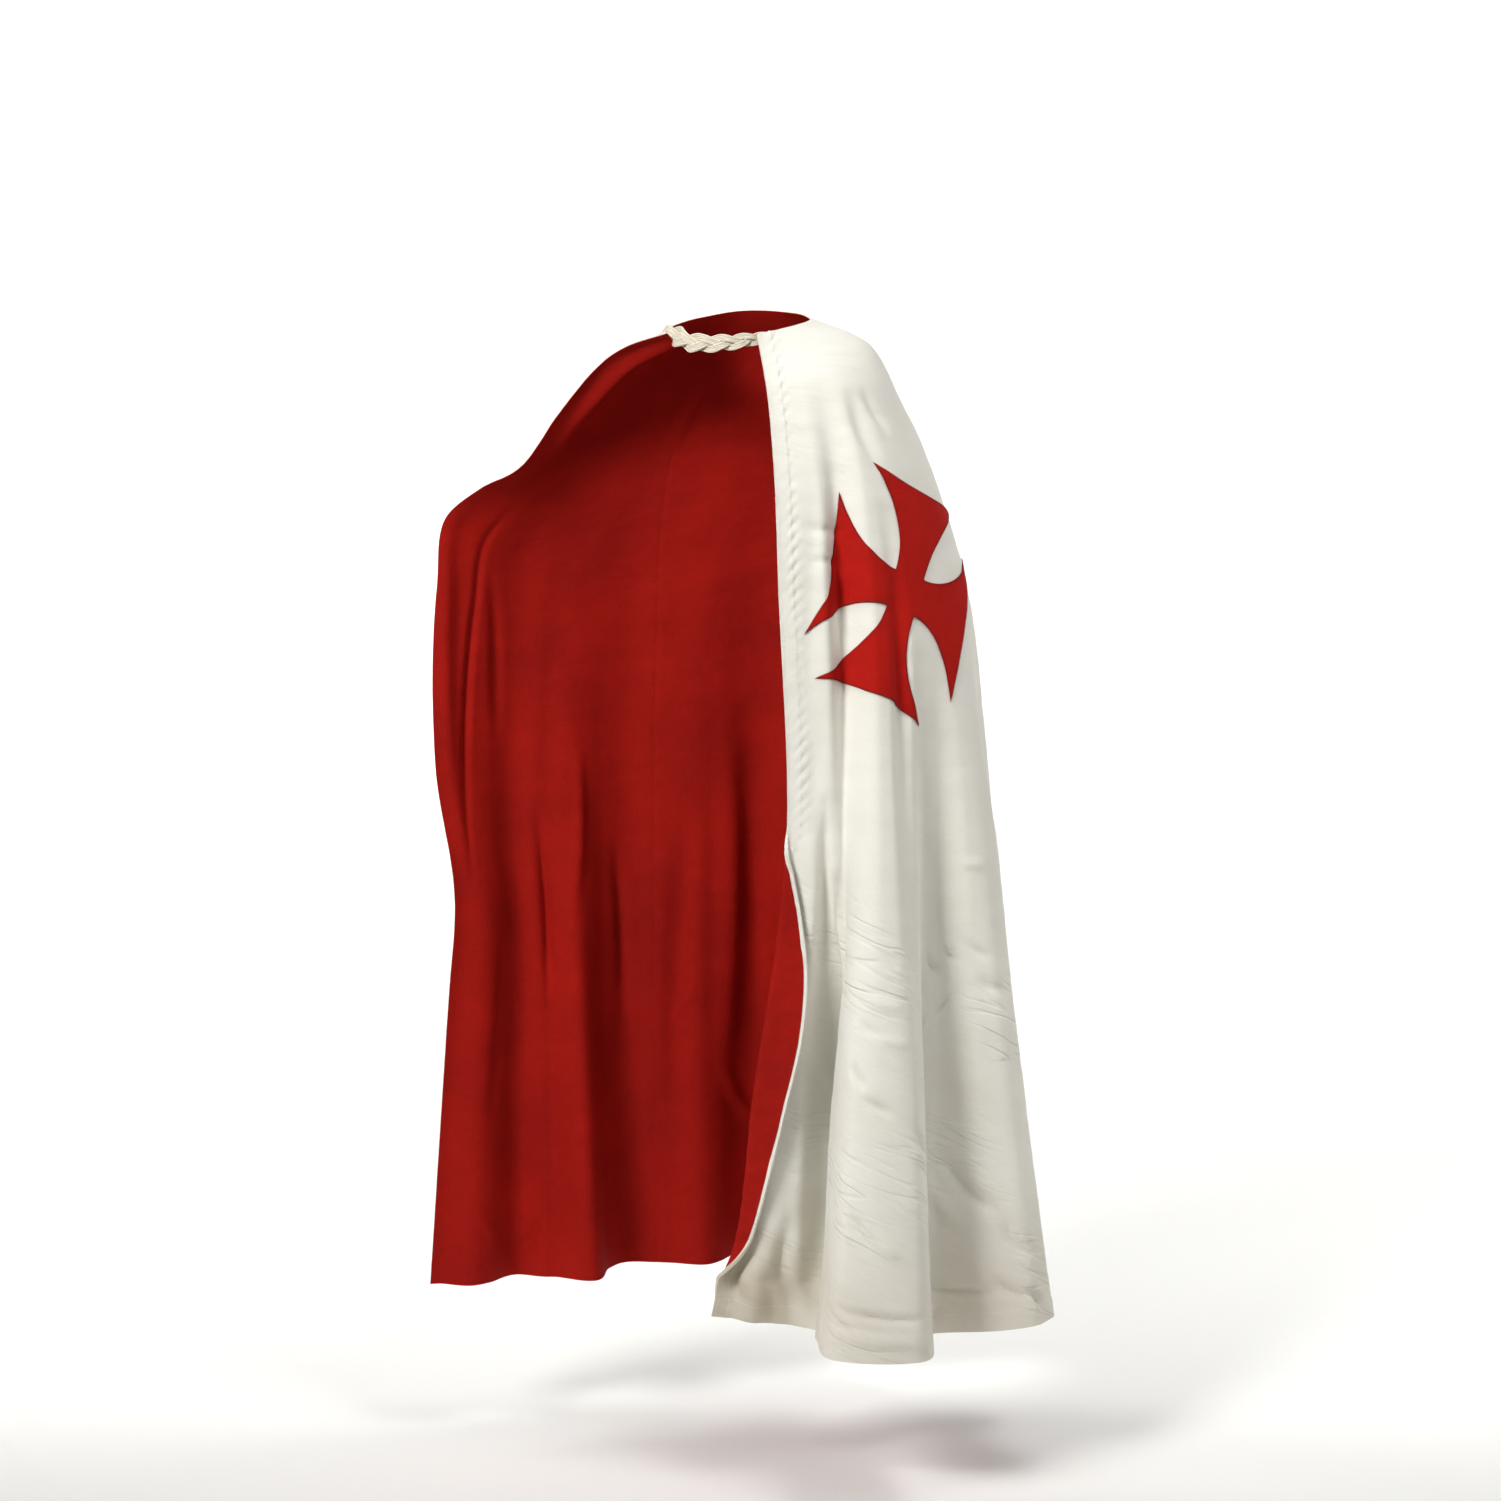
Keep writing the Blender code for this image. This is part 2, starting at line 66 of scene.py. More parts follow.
GUIDES = [Guide(name, place, [Station(*row) for row in rows]) for name, place, rows in (
    ("right edge", 0.0, (
        (0.0, -0.102, -0.04, 0.0),
        (0.07, -0.178, -0.005, -0.029),
        (0.15, -0.255, 0.03, -0.112),
        (0.21, -0.312, 0.045, -0.19),
        (0.26, -0.372, 0.052, -0.222),
        (0.31, -0.42, 0.055, -0.262),
        (0.38, -0.434, 0.055, -0.36),
        (0.55, -0.438, 0.055, -0.62),
        (0.69, -0.412, 0.055, -0.835),
        (0.75, -0.421, 0.058, -0.945),
        (1.0, -0.454, 0.065, -1.386),
    )),
    ("right back", 0.12, (
        (0.0, -0.088, 0.03, 0.012),
        (0.12, -0.18, 0.095, -0.11),
        (0.25, -0.26, 0.125, -0.27),
        (0.4, -0.285, 0.13, -0.47),
        (0.7, -0.285, 0.125, -0.93),
        (1.0, -0.28, 0.105, -1.386),
    )),
    ("back", 0.3, (
        (0.0, 0.0, 0.085, 0.03),
        (0.06, 0.0, 0.13, -0.035),
        (0.13, 0.0, 0.152, -0.13),
        (0.26, 0.0, 0.168, -0.32),
        (0.55, 0.0, 0.185, -0.73),
        (1.0, 0.0, 0.215, -1.384),
    )),
    ("left back", 0.47, (
        (0.0, 0.07, 0.055, 0.028),
        (0.06, 0.135, 0.085, -0.02),
        (0.13, 0.205, 0.11, -0.112),
        (0.26, 0.262, 0.13, -0.305),
        (0.55, 0.292, 0.14, -0.725),
        (1.0, 0.312, 0.165, -1.39),
    )),
    ("left side", 0.63, (
        (0.0, 0.098, 0.0, 0.02),
        (0.06, 0.18, 0.0, -0.016),
        (0.13, 0.228, -0.005, -0.107),
        (0.28, 0.308, -0.02, -0.32),
        (0.46, 0.346, -0.03, -0.575),
        (0.72, 0.374, -0.045, -0.955),
        (1.0, 0.41, -0.065, -1.386),
    )),
    ("left front", 0.82, (
        (0.0, 0.078, -0.055, 0.012),
        (0.06, 0.128, -0.095, -0.04),
        (0.13, 0.163, -0.122, -0.128),
        (0.26, 0.192, -0.15, -0.31),
        (0.5, 0.2, -0.185, -0.645),
        (0.75, 0.202, -0.225, -1.015),
        (1.0, 0.2, -0.265, -1.396),
    )),
    ("left edge", 1.0, (
        (0.0, 0.024, -0.098, 0.0),
        (0.05, 0.036, -0.132, -0.065),
        (0.13, 0.046, -0.16, -0.17),
        (0.26, 0.053, -0.178, -0.34),
        (0.52, 0.064, -0.18, -0.715),
        (0.76, 0.022, -0.162, -1.06),
        (0.95, -0.012, -0.146, -1.305),
        (1.0, -0.036, -0.14, -1.372),
    )),
)]

# A fold pushes the cloth out, or in where its push is below zero, and its lean moves it on
# toward the left edge as well. It spreads by its half width on either side of its place,
# and the share flat of that is level. It grows from its start drop to its peak drop, then
# changes to the share hold of its push at the hem.
Fold = namedtuple("Fold", "name place half_width push start flat lean peak hold",
                  defaults=(0.0, 0.0, 1.0, 1.0))

FOLDS = (
    Fold("right lobe", 0.04, 0.035, -0.022, 0.22),
    Fold("right valley", 0.09, 0.032, 0.03, 0.18),
    Fold("right tongue", 0.15, 0.03, -0.055, 0.3),
    Fold("right hollow", 0.2, 0.034, 0.03, 0.15),
    Fold("back right ridge", 0.262, 0.038, -0.034, 0.22),
    Fold("back right valley", 0.315, 0.036, 0.036, 0.12),
    Fold("back middle ridge", 0.372, 0.038, -0.044, 0.25),
    Fold("back left valley", 0.43, 0.04, 0.042, 0.16),
    Fold("back left ridge", 0.49, 0.036, -0.04, 0.28),
    Fold("side ridge", 0.545, 0.034, 0.03, 0.2),
    Fold("side dip", 0.6, 0.03, -0.028, 0.35),
    Fold("side lobe", 0.67, 0.048, 0.05, 0.35, flat=0.2),
    Fold("side valley", 0.742, 0.04, -0.075, 0.3, flat=0.2),
    Fold("front ridge", 0.83, 0.068, 0.08, 0.3, flat=0.35),
    Fold("cross pleat", 0.88, 0.046, -0.034, 0.06, lean=0.01, peak=0.28, hold=0.15),
    Fold("cross groove", 0.795, 0.024, -0.012, 0.18, peak=0.4, hold=0.0),
    Fold("front valley", 0.93, 0.048, -0.06, 0.35),
)
FOLD_GROWTH = 1.25

# The left front edge: a bend of the given cloth length, then a flap of the given width,
# turned outward through the given angle in degrees. It starts as a point, so its upper rows
# are narrow.
Curl = namedtuple("Curl", "drop turn bend width")
EDGE_EASE = 5.0
LEAST_TURN, MOST_TURN = 1.0, 178.0

EDGE_CURL = [Curl(*row) for row in (
    (0.0, 0.0, 0.016, 0.01),
    (0.38, 0.0, 0.011, 0.006),
    (0.46, 0.0, 0.007, 0.003),
    (0.492, 12.0, 0.006, 0.002),
    (0.512, 100.0, 0.011, 0.002),
    (0.532, 168.0, 0.018, 0.006),
    (0.575, 178.0, 0.023, 0.023),
    (0.645, 178.0, 0.025, 0.049),
    (0.7, 178.0, 0.025, 0.056),
    (0.78, 178.0, 0.025, 0.046),
    (0.87, 178.0, 0.025, 0.028),
    (0.93, 160.0, 0.025, 0.018),
    (0.97, 60.0, 0.025, 0.016),
    (1.0, 15.0, 0.025, 0.016),
)]

# Small creases pressed into the cloth. A crease lies at a way and a drop, and its slant in
# degrees turns its lower end toward the left edge. Its width is half of what it takes up,
# its depth is out where above zero, and its bow bends its middle sideways.
Crease = namedtuple("Crease", "name way drop length slant width depth bow", defaults=(0.0,))

CREASES = [Crease(*row) for row in (
    ("fan upper", 0.738, 0.662, 0.05, -35, 0.005, -0.0063, 0.002),
    ("fan outer", 0.721, 0.655, 0.038, -42, 0.0045, -0.0052),
    ("fan lower", 0.728, 0.702, 0.046, 32, 0.005, -0.0056, -0.002),
    ("fan inner", 0.75, 0.69, 0.05, -16, 0.006, -0.0034, 0.001),
    ("fan end", 0.752, 0.716, 0.034, 24, 0.0045, -0.0042),
    ("side nick", 0.703, 0.652, 0.06, -52, 0.006, -0.004, 0.002),
    ("side tuck", 0.7, 0.572, 0.044, -72, 0.006, 0.0022),
    ("side pull", 0.684, 0.69, 0.08, -60, 0.009, -0.003, 0.004),
    ("ridge bump upper", 0.833, 0.68, 0.06, -66, 0.007, 0.0028, 0.002),
    ("ridge bump middle", 0.824, 0.716, 0.066, -70, 0.0065, 0.003),
    ("ridge bump lower", 0.846, 0.702, 0.05, -58, 0.006, -0.0034),
    ("ridge stroke upper", 0.857, 0.743, 0.048, -36, 0.0055, -0.0063, 0.002),
    ("ridge stroke lower", 0.84, 0.773, 0.06, -58, 0.006, -0.0063, -0.002),
    ("ridge shoulder", 0.791, 0.811, 0.074, -46, 0.006, -0.0074, 0.003),
    ("ridge shoulder lip", 0.797, 0.824, 0.06, -50, 0.007, 0.0045),
    ("side sweep", 0.714, 0.866, 0.15, -42, 0.011, -0.0097, 0.01),
    ("side sweep lip", 0.724, 0.884, 0.11, -40, 0.012, 0.0063, 0.006),
    ("side low sweep", 0.69, 0.918, 0.09, -30, 0.01, -0.007, 0.006),
    ("ridge low stroke", 0.846, 0.882, 0.072, -34, 0.007, -0.006, 0.003),
    ("ridge low bump", 0.828, 0.9, 0.05, -50, 0.008, 0.0042),
    ("hem line side", 0.722, 0.96, 0.15, -84, 0.008, -0.005, 0.004),
    ("hem roll side", 0.738, 0.976, 0.09, -78, 0.009, 0.005),
    ("hem corner upper", 0.698, 0.962, 0.066, -48, 0.007, -0.008, 0.004),
    ("hem corner lower", 0.682, 0.978, 0.06, -36, 0.0065, -0.007),
    ("hem ridge line", 0.832, 0.958, 0.15, -83, 0.0065, -0.0066, 0.003),
    ("hem ridge roll", 0.836, 0.979, 0.13, -85, 0.0085, 0.0046, 0.002),
    ("hem ridge tuck", 0.868, 0.962, 0.066, -52, 0.007, -0.0066, 0.003),
    ("front corner fold", 0.96, 0.945, 0.19, 4, 0.012, -0.013, 0.003),
    ("front corner lip", 0.944, 0.94, 0.12, -4, 0.011, 0.0025, 0.002),
    ("front corner sweep", 0.986, 0.968, 0.13, 14, 0.017, 0.017, 0.004),
    ("front valley depth", 0.93, 0.8, 0.76, 2, 0.019, -0.062),
    ("front valley top", 0.94, 0.6, 0.4, 1, 0.01, -0.011),
    ("front strip", 0.962, 0.6, 0.52, 1, 0.017, 0.011),
    ("edge hollow upper", 0.962, 0.29, 0.42, 2, 0.015, -0.003, 0.006),
    ("edge hollow lower", 0.955, 0.48, 0.24, -4, 0.012, -0.0034, 0.004),
    ("chest pull", 0.926, 0.215, 0.09, -76, 0.008, -0.0028, 0.003),
    ("chest pull lower", 0.93, 0.246, 0.07, -80, 0.007, -0.0025),
    ("shoulder dip", 0.814, 0.135, 0.14, -8, 0.015, -0.0062, 0.006),
    ("shoulder tuck", 0.77, 0.12, 0.09, -22, 0.011, -0.0039, 0.003),
    ("side long", 0.64, 0.48, 0.34, -2, 0.014, -0.007, 0.008),
    ("side back tuck", 0.585, 0.7, 0.11, -30, 0.009, -0.0062, 0.004),
    ("side back pull", 0.56, 0.56, 0.08, 46, 0.007, -0.0048, 0.003),
    ("back nick left", 0.505, 0.64, 0.06, 38, 0.006, -0.005, 0.002),
    ("back sweep left", 0.468, 0.77, 0.13, -34, 0.01, -0.007, 0.008),
    ("back stroke left", 0.445, 0.585, 0.07, -50, 0.0065, -0.005, 0.002),
    ("back fold left", 0.462, 0.66, 0.86, -2, 0.026, -0.017, 0.01),
    ("back fold middle", 0.344, 0.7, 0.76, 2, 0.03, -0.019, -0.008),
    ("back fold right", 0.286, 0.62, 0.64, -1, 0.022, -0.014, 0.006),
    ("back crown left", 0.418, 0.56, 0.56, 3, 0.018, 0.01, 0.006),
    ("back crown right", 0.246, 0.7, 0.62, -3, 0.02, 0.011, -0.006),
    ("back long", 0.398, 0.52, 0.3, 3, 0.013, -0.007, 0.006),
    ("back stroke middle", 0.345, 0.69, 0.064, 42, 0.0065, -0.005, 0.002),
    ("back sweep right", 0.3, 0.83, 0.14, 36, 0.011, -0.007, -0.008),
    ("back nick right", 0.285, 0.615, 0.052, 52, 0.006, -0.0045),
    ("back tuck right", 0.248, 0.73, 0.08, -28, 0.0075, -0.005, 0.003),
    ("nape pull left", 0.395, 0.11, 0.11, 24, 0.011, -0.0042, 0.004),
    ("nape pull right", 0.235, 0.12, 0.12, -20, 0.011, -0.0042, -0.004),
    ("neck gutter", 0.036, 0.0, 0.4, 4, 0.013, -0.023),
    ("edge strip", 0.012, 0.47, 0.64, 2, 0.017, -0.012),
    ("edge strip groove", 0.036, 0.47, 0.62, -4, 0.007, 0.01),
    ("shoulder roll", 0.036, 0.12, 0.24, 6, 0.016, -0.0126, 0.004),
    ("right soft upper", 0.066, 0.42, 0.26, 5, 0.012, 0.007, 0.006),
    ("right soft lower", 0.06, 0.76, 0.32, -3, 0.014, 0.0084, 0.008),
    ("right hem stroke", 0.052, 0.95, 0.07, 44, 0.008, -0.005, 0.003),
    ("right hem nick", 0.104, 0.958, 0.06, -36, 0.007, 0.005, 0.002),
    ("right dark crease", 0.118, 0.64, 0.34, 2, 0.009, 0.0112, 0.004),
    ("right tongue crease", 0.15, 0.56, 0.26, -3, 0.009, -0.007, 0.004),
    ("right hollow crease", 0.196, 0.66, 0.3, 3, 0.01, 0.0084, 0.005),
)]
# How a crease thins toward its ends, fades to its sides and is lipped along them
CREASE_THINNING = 1.5
CREASE_FADE = 0.8
CREASE_LIPS = 0.45

# Slow unevenness of hung cloth: waves with a length, a direction in degrees and a start
Wave = namedtuple("Wave", "length heading start")
UNEVEN_WAVES = (
    Wave(0.213, 24, 0.3),
    Wave(0.137, -37, 1.9),
    Wave(0.091, 61, 4.2),
    Wave(0.058, -12, 2.6),
    Wave(0.041, 78, 5.1),
)

# Puckers along a sewn line: how far they reach and lean, how much of them the hem has, and
# the slow ripples that make them uneven
PUCKER_REACH = 0.009
PUCKER_LEAN = 0.7
HEM_PUCKERS = 0.6
Ripple = namedtuple("Ripple", "height length start")
PUCKER_DRIFT = (Ripple(0.55, 0.061, 0.0), Ripple(0.35, 0.023, 1.3))
PUCKER_SWELL = Ripple(0.38, 0.047, 0.8)

# Panels. A way counts along a section: 0 to 1 is the draped cloth, 1 to 2 the bend of the
# left edge and 2 to 3 its flap. Stretches share the columns out from the right edge.
BEND_START, FLAP_START, FREE_EDGE = 1.0, 2.0, 3.0
RIGHT_SEAM = 0.225
LEFT_SEAM = 0.535
Stretch = namedtuple("Stretch", "end count")
COLUMNS = (
    Stretch(0.06, 28),
    Stretch(RIGHT_SEAM, 56),
    Stretch(LEFT_SEAM, 84),
    Stretch(0.66, 18),
    Stretch(0.85, 68),
    Stretch(0.95, 44),
    Stretch(BEND_START, 14),
    Stretch(FLAP_START, 10),
    Stretch(FREE_EDGE, 9),
)
ROWS = (Stretch(0.52, 150), Stretch(0.93, 116), Stretch(1.0, 22))
Panel = namedtuple("Panel", "name first last width length area")
PANELS = (
    Panel("front_right", 0.0, RIGHT_SEAM, 0.58, 1.50, 0.49),
    Panel("back", RIGHT_SEAM, LEFT_SEAM, 0.76, 1.46, 0.74),
    Panel("front_left", LEFT_SEAM, FREE_EDGE, 1.12, 1.50, 0.90),
)

# Widths of the steps beside band, hem and rim, and over how many rim widths the lining's edge
# is drawn back
STEP_WIDTH = 0.002
RIM_STEP = 0.001
RIM_SPREAD = 12.0

# The cross: arms that spread along a power curve to hollow ends, the side ones a little shorter
CROSS_WAY = 0.786
CROSS_DROP = 0.295
CROSS_TILT = math.radians(-28.0)
CROSS_REACH = 0.156
CROSS_SIDE_REACH = 0.148
CROSS_WAIST = 0.026
CROSS_SPREAD = 0.107
CROSS_FLARE = 2.0
CROSS_END_HOLLOW = 0.014
CROSS_HOLLOW_POWER = 4
CROSS_ARMS = 4
CROSS_THIN_EDGE = 0.35
CROSS_BORDER_POINTS = 40
CROSS_OUT_POINTS, CROSS_OUT_RIM = 44, 0.985
CROSS_SIDE_POINTS, CROSS_SIDE_RIM = 37, 0.97

# Where lines of stitches lie from the borders of band and hem, and how askew a stitch can be
STITCH_INSET = 0.003
EDGE_STITCH_INSET = 0.004
STITCH_SKEW = 0.16

# The neck cord, a plait of three flattened strands that tapers from its right end to its left
PLAIT_STRANDS = 3
PLAIT_TURNS = 2.4
PLAIT_RINGS = 180
PLAIT_SWAY = 0.0118
PLAIT_DEPTH = 0.0046
STRAND_HALF_WIDTH = 0.008
STRAND_HALF_DEPTH = 0.0034
PLAIT_LEFT_SCALE = 0.36
PINCH = 0.28
PINCH_LENGTH = 0.28
STRAND_CORDS = 4
CORD_SIDES = 12
CORD_SWELL = 1.12
CORD_INSET = 0.4
CORD_PLIES = 3
PLY_TWISTS = 9.0
PLY_RELIEF = 0.16
Stop = namedtuple("Stop", "across depth level")
PLAIT_ROUTE = (
    Stop(-0.12, 0.002, -0.012),
    Stop(-0.098, -0.02, -0.001),
    Stop(-0.066, -0.072, -0.011),
    Stop(-0.022, -0.094, -0.011),
    Stop(0.020, -0.090, -0.006),
    Stop(0.0558, -0.0694, -0.0022),
)

# The angle that makes an edge sharp, the step over which slopes are measured, and the decimals
# within which two places of the cross are one
SHARP_ANGLE = math.radians(60.0)
DIFFERENCE = 0.001
MERGE_DIGITS = 6

# Tints of the lights
WHITE_LIGHT = (1.0, 1.0, 1.0)
KEY_LIGHT = (1.0, 1.0, 0.985)
FILL_LIGHT = (1.0, 0.97, 0.93)
SKY_LIGHT = (1.0, 0.965, 0.92, 1.0)

# Sockets that have to be counted, because sockets of other data types share their names
MIX_FIRST, MIX_SECOND, MIXED = 6, 7, 2
SKEW_LEAST, SKEW_MOST, SKEWED = 2, 3, 1


def screen_color(code):
    """A colour given as a screen hex code, in linear light with full alpha."""
    levels = [int(code[place:place + 2], 16) / 255.0 for place in (1, 3, 5)]
    light = [c / 12.92 if c <= 0.04045 else ((c + 0.055) / 1.055) ** 2.4 for c in levels]
    return (*light, 1.0)


def length(name, description, default):
    """A length setting in metres."""
    return FloatProperty(name=name, description=description, default=default, unit="LENGTH",
                         precision=4)


def power(name, default):
    """A light's power setting."""
    return FloatProperty(name=name, description="Power in watts", default=default, unit="POWER")


def color(name, description, code):
    """A colour setting."""
    return FloatVectorProperty(name=name, description=description, size=4, min=0.0, max=1.0,
                               subtype="COLOR", default=screen_color(code))


class CloakSizes(bpy.types.PropertyGroup):
    """Sizes of the cloth and its sewing"""
    shell: length("Outer cloth", "Thickness of the outer cloth", 0.0016)
    lining: length("Lining", "Thickness of the lining", 0.0010)
    cross: length("Cross", "Thickness of the cross", 0.0010)
    cross_lift: length("Cross lift", "Distance of the cross from the outer cloth", 0.0007)
    clearance: length("Clearance", "Gap between neighbouring pieces", 0.0003)
    band: length("Edge band", "Width of the sewn band on the left front edge", 0.023)
    hem: length("Hem", "Width of the turned hem", 0.029)
    turning: length("Turning", "Thickness that band and hem add", 0.0007)
    rim: length("Rim", "Width of outer cloth that rolls over the lining's edge", 0.005)
    pucker: length("Pucker", "Height of the puckers along the band's seam", 0.0011)
    pucker_pitch: length("Pucker spacing", "Mean distance between puckers", 0.019)
    uneven: length("Unevenness", "Height of the cloth's slow waves", 0.0007)
    seam_dip: length("Seam dip", "Depth of the groove along a seam", 0.0007)
    seam_width: length("Seam width", "Half width of the groove along a seam", 0.0035)
    stitch: length("Stitch", "Length of a seam stitch", 0.0034)
    stitch_pitch: length("Stitch spacing", "Distance between seam stitches", 0.0048)
    thread: length("Thread", "Thickness of the sewing thread", 0.0009)
    satin: length("Satin stitch", "Length of the stitches round the cross", 0.0034)
    satin_pitch: length("Satin spacing", "Distance between stitches round the cross", 0.0017)


class CloakColors(bpy.types.PropertyGroup):
    """Colours of the cloak's materials"""
    shell: color("Outer cloth", "Off-white of the outer cloth", "#EFEDE5")
    shell_shade: color("Outer cloth shade", "Duller threads of the outer cloth", "#E7E4DA")
    # Colour that darkens the hem; at the front corner it is painted shade, where the corner turns
    # away from the light
    darker_hem_and_painted_corner_shade: color("Hem darkening and corner shade", "Darker toward the hem, painted shade at the front corner", "#B9AC92")
    lining: color("Lining", "Red of the lining", "#AB1910")
    lining_shade: color("Lining shade", "Darker threads of the lining", "#8E120C")
    cross: color("Cross", "Red of the cross", "#B91C14")
    cross_shade: color("Cross shade", "Darker threads of the cross", "#A0150F")
    cross_thread: color("Cross thread", "Thread round the cross", "#7E100C")
    cord: color("Cord", "Cream of the neck cord", "#EAE3D3")
    # Painted shade for the grooves between the cord's plies
    painted_cord_groove_shade: color("Painted cord groove shade", "Painted shade in the grooves of the neck cord", "#C2B59C")
    stage: color("Stage", "Floor and backdrop", "#F4F4F2")


class CloakStage(bpy.types.PropertyGroup):
    """Camera, floor and lights"""
    camera_back: length("Camera distance", "Distance of the camera in front", 5.5)
    camera_side: length("Camera side", "Camera's place across", 0.015)
    camera_rise: length("Camera height", "Camera's height over the neck", 0.12)
    aim_drop: length("Aim", "How far below the neck the camera aims", 0.59)
    lens: FloatProperty(name="Lens", description="Focal length in millimetres", default=93.54,
                        unit="CAMERA")
    floor_drop: length("Floor", "Depth of the floor below the neck", 1.61)
    key_power: power("Key light", 25.0)
    fill_power: power("Fill light", 15.0)
    top_power: power("Top light", 7.0)
    back_power: power("Backdrop light", 70.0)
    sky: FloatProperty(name="Ambient", description="Strength of the even light", default=0.15)


class CloakSettings(bpy.types.PropertyGroup):
    """All settings of the cloak"""
    sizes: PointerProperty(type=CloakSizes)
    colors: PointerProperty(type=CloakColors)
    stage: PointerProperty(type=CloakStage)


def settings():
    """The scene's cloak settings."""
    return bpy.context.scene.cloak


def smooth(knots, values, at):
    """A cubic curve through the values at the knots, read at the given places."""
    knots = np.asarray(knots, float)
    values = np.asarray(values, float)
    at = np.atleast_1d(np.asarray(at, float))
    slopes = np.gradient(values, knots, axis=0)
    cell = np.clip(np.searchsorted(knots, at, side="right") - 1, 0, len(knots) - 2)
    span = knots[cell + 1] - knots[cell]
    part = (at - knots[cell]) / span
    if values.ndim > 1:
        span = span[:, None]
        part = part[:, None]
    rest = 1.0 - part
    start = values[cell] * (1.0 + 2.0 * part) + slopes[cell] * part * span
    end = values[cell + 1] * (3.0 - 2.0 * part) - slopes[cell + 1] * rest * span
    return start * rest ** 2 + end * part ** 2


def unit(vectors):
    """The vectors at length one."""
    return vectors / np.linalg.norm(vectors, axis=-1, keepdims=True)


def guided(drop, places):
    """Points of the unfolded section at one drop."""
    points = []
    for guide in GUIDES:
        drops = [station.drop for station in guide.stations]
        spots = [station[1:] for station in guide.stations]
        points.append(smooth(drops, spots, drop)[0])
    return smooth([guide.place for guide in GUIDES], points, places)


def facing(section, drop, places):
    """Outward directions of a section function, and its steps round."""
    places = np.asarray(places, float)
    along = section(drop, places + DIFFERENCE) - section(drop, places - DIFFERENCE)
    down = section(drop + DIFFERENCE, places) - section(drop - DIFFERENCE, places)
    return unit(np.cross(along, down)), along / (2 * DIFFERENCE)


def fold_growth(fold, drop):
    """A fold's share of its push at one drop."""
    rise = np.clip((drop - fold.start) / (fold.peak - fold.start), 0.0, 1.0)
    if drop <= fold.peak:
        return rise ** FOLD_GROWTH
    return 1.0 + (fold.hold - 1.0) * (drop - fold.peak) / (1.0 - fold.peak)


def draped(drop, places):
    """Points of the folded section at one drop."""
    places = np.asarray(places, float)
    outward, step = facing(guided, drop, places)
    push, lean = np.zeros((2, len(places), 1))
    for fold in FOLDS:
        reach = np.abs(places - fold.place) / fold.half_width
        slope = np.clip((reach - fold.flat) / (1.0 - fold.flat), 0.0, 1.0)
        bump = (0.5 + 0.5 * np.cos(math.pi * slope)) * fold_growth(fold, min(drop, 1.0))
        push += fold.push * bump[:, None]
        lean += fold.lean * bump[:, None]
    return guided(drop, places) + push * outward + lean * unit(step)


def edge_curl(drop):
    """The turn, flap width, bend radius and reach of the left front edge at one drop."""
    drops = [curl.drop for curl in EDGE_CURL]
    degrees, bend, width = smooth(drops, [curl[1:] for curl in EDGE_CURL], drop)[0]
    turn = math.radians(np.clip(degrees, LEAST_TURN, MOST_TURN))
    radius = bend / turn
    reach = radius
    if turn < math.pi / 2:
        reach = radius * math.sin(turn) + width * math.cos(turn)
    return turn, width, radius, reach


def section(drop, ways):
    """Points and outward directions of the cloth at one drop, at the given ways."""
    turn, width, radius, reach = edge_curl(drop)
    _, edge_step = facing(draped, drop, [1.0])
    last = 1.0 - reach / np.linalg.norm(edge_step[0])
    places = np.minimum(ways, BEND_START)
    places = places - (1.0 - last) * places ** EDGE_EASE
    points = draped(drop, places)
    outward, step = facing(draped, drop, places)
    onward = unit(step)
    angle = turn * np.clip(ways - BEND_START, 0.0, 1.0)[:, None]
    flap = width * np.clip(ways - FLAP_START, 0.0, 1.0)[:, None]
    bend = radius * (np.sin(angle) * onward + (1.0 - np.cos(angle)) * outward)
    free = flap * (np.cos(angle) * onward + np.sin(angle) * outward)
    turned = np.cos(angle) * outward - np.sin(angle) * onward
    return points + bend + free, turned


def shared_out(stretches):
    """Places from 0 on, shared out evenly within each stretch."""
    places = np.array([0.0])
    for stretch in stretches:
        fresh = np.linspace(places[-1], stretch.end, stretch.count + 1)[1:]
        places = np.concatenate([places, fresh])
    return places


# The cloth on its fine grid: rows of drops, columns of ways. across and down are lengths of
# cloth from the right edge and the neck, from_edge and above_hem those to the left edge and hem.
Cloth = namedtuple("Cloth", "drops ways points outward across down from_edge above_hem")


def column_at(ways, way):
    """The column of the cloth that is nearest to a way."""
    return int(np.argmin(np.abs(ways - way)))


def crease_push(crease, drops, ways, across, down):
    """How far one crease pushes each point of the cloth out."""
    column = column_at(ways, crease.way)
    sideways = across - across[:, column:column + 1]
    below = (down[:, column] - np.interp(crease.drop, drops, down[:, column]))[:, None]
    slant = math.radians(crease.slant)
    along = sideways * math.sin(slant) + below * math.cos(slant)
    share = np.clip(1.0 - (2.0 * along / crease.length) ** 2, 0.0, 1.0) ** CREASE_THINNING
    beside = sideways * math.cos(slant) - below * math.sin(slant) - crease.bow * share
    reach = (beside / crease.width) ** 2
    return crease.depth * share * (1.0 - CREASE_LIPS * reach) * np.exp(-CREASE_FADE * reach)


def uneven_push(across, down):
    """Slow, shallow waves all over the cloth, from -1 to 1."""
    push = np.zeros(across.shape)
    for wave in UNEVEN_WAVES:
        heading = math.radians(wave.heading)
        way = across * math.cos(heading) + down * math.sin(heading)
        push += np.sin(2.0 * math.pi * way / wave.length + wave.start)
    return push / len(UNEVEN_WAVES)


def ripple_at(ripple, along):
    """How high a ripple stands at places along a line."""
    return ripple.height * np.sin(along / ripple.length + ripple.start)


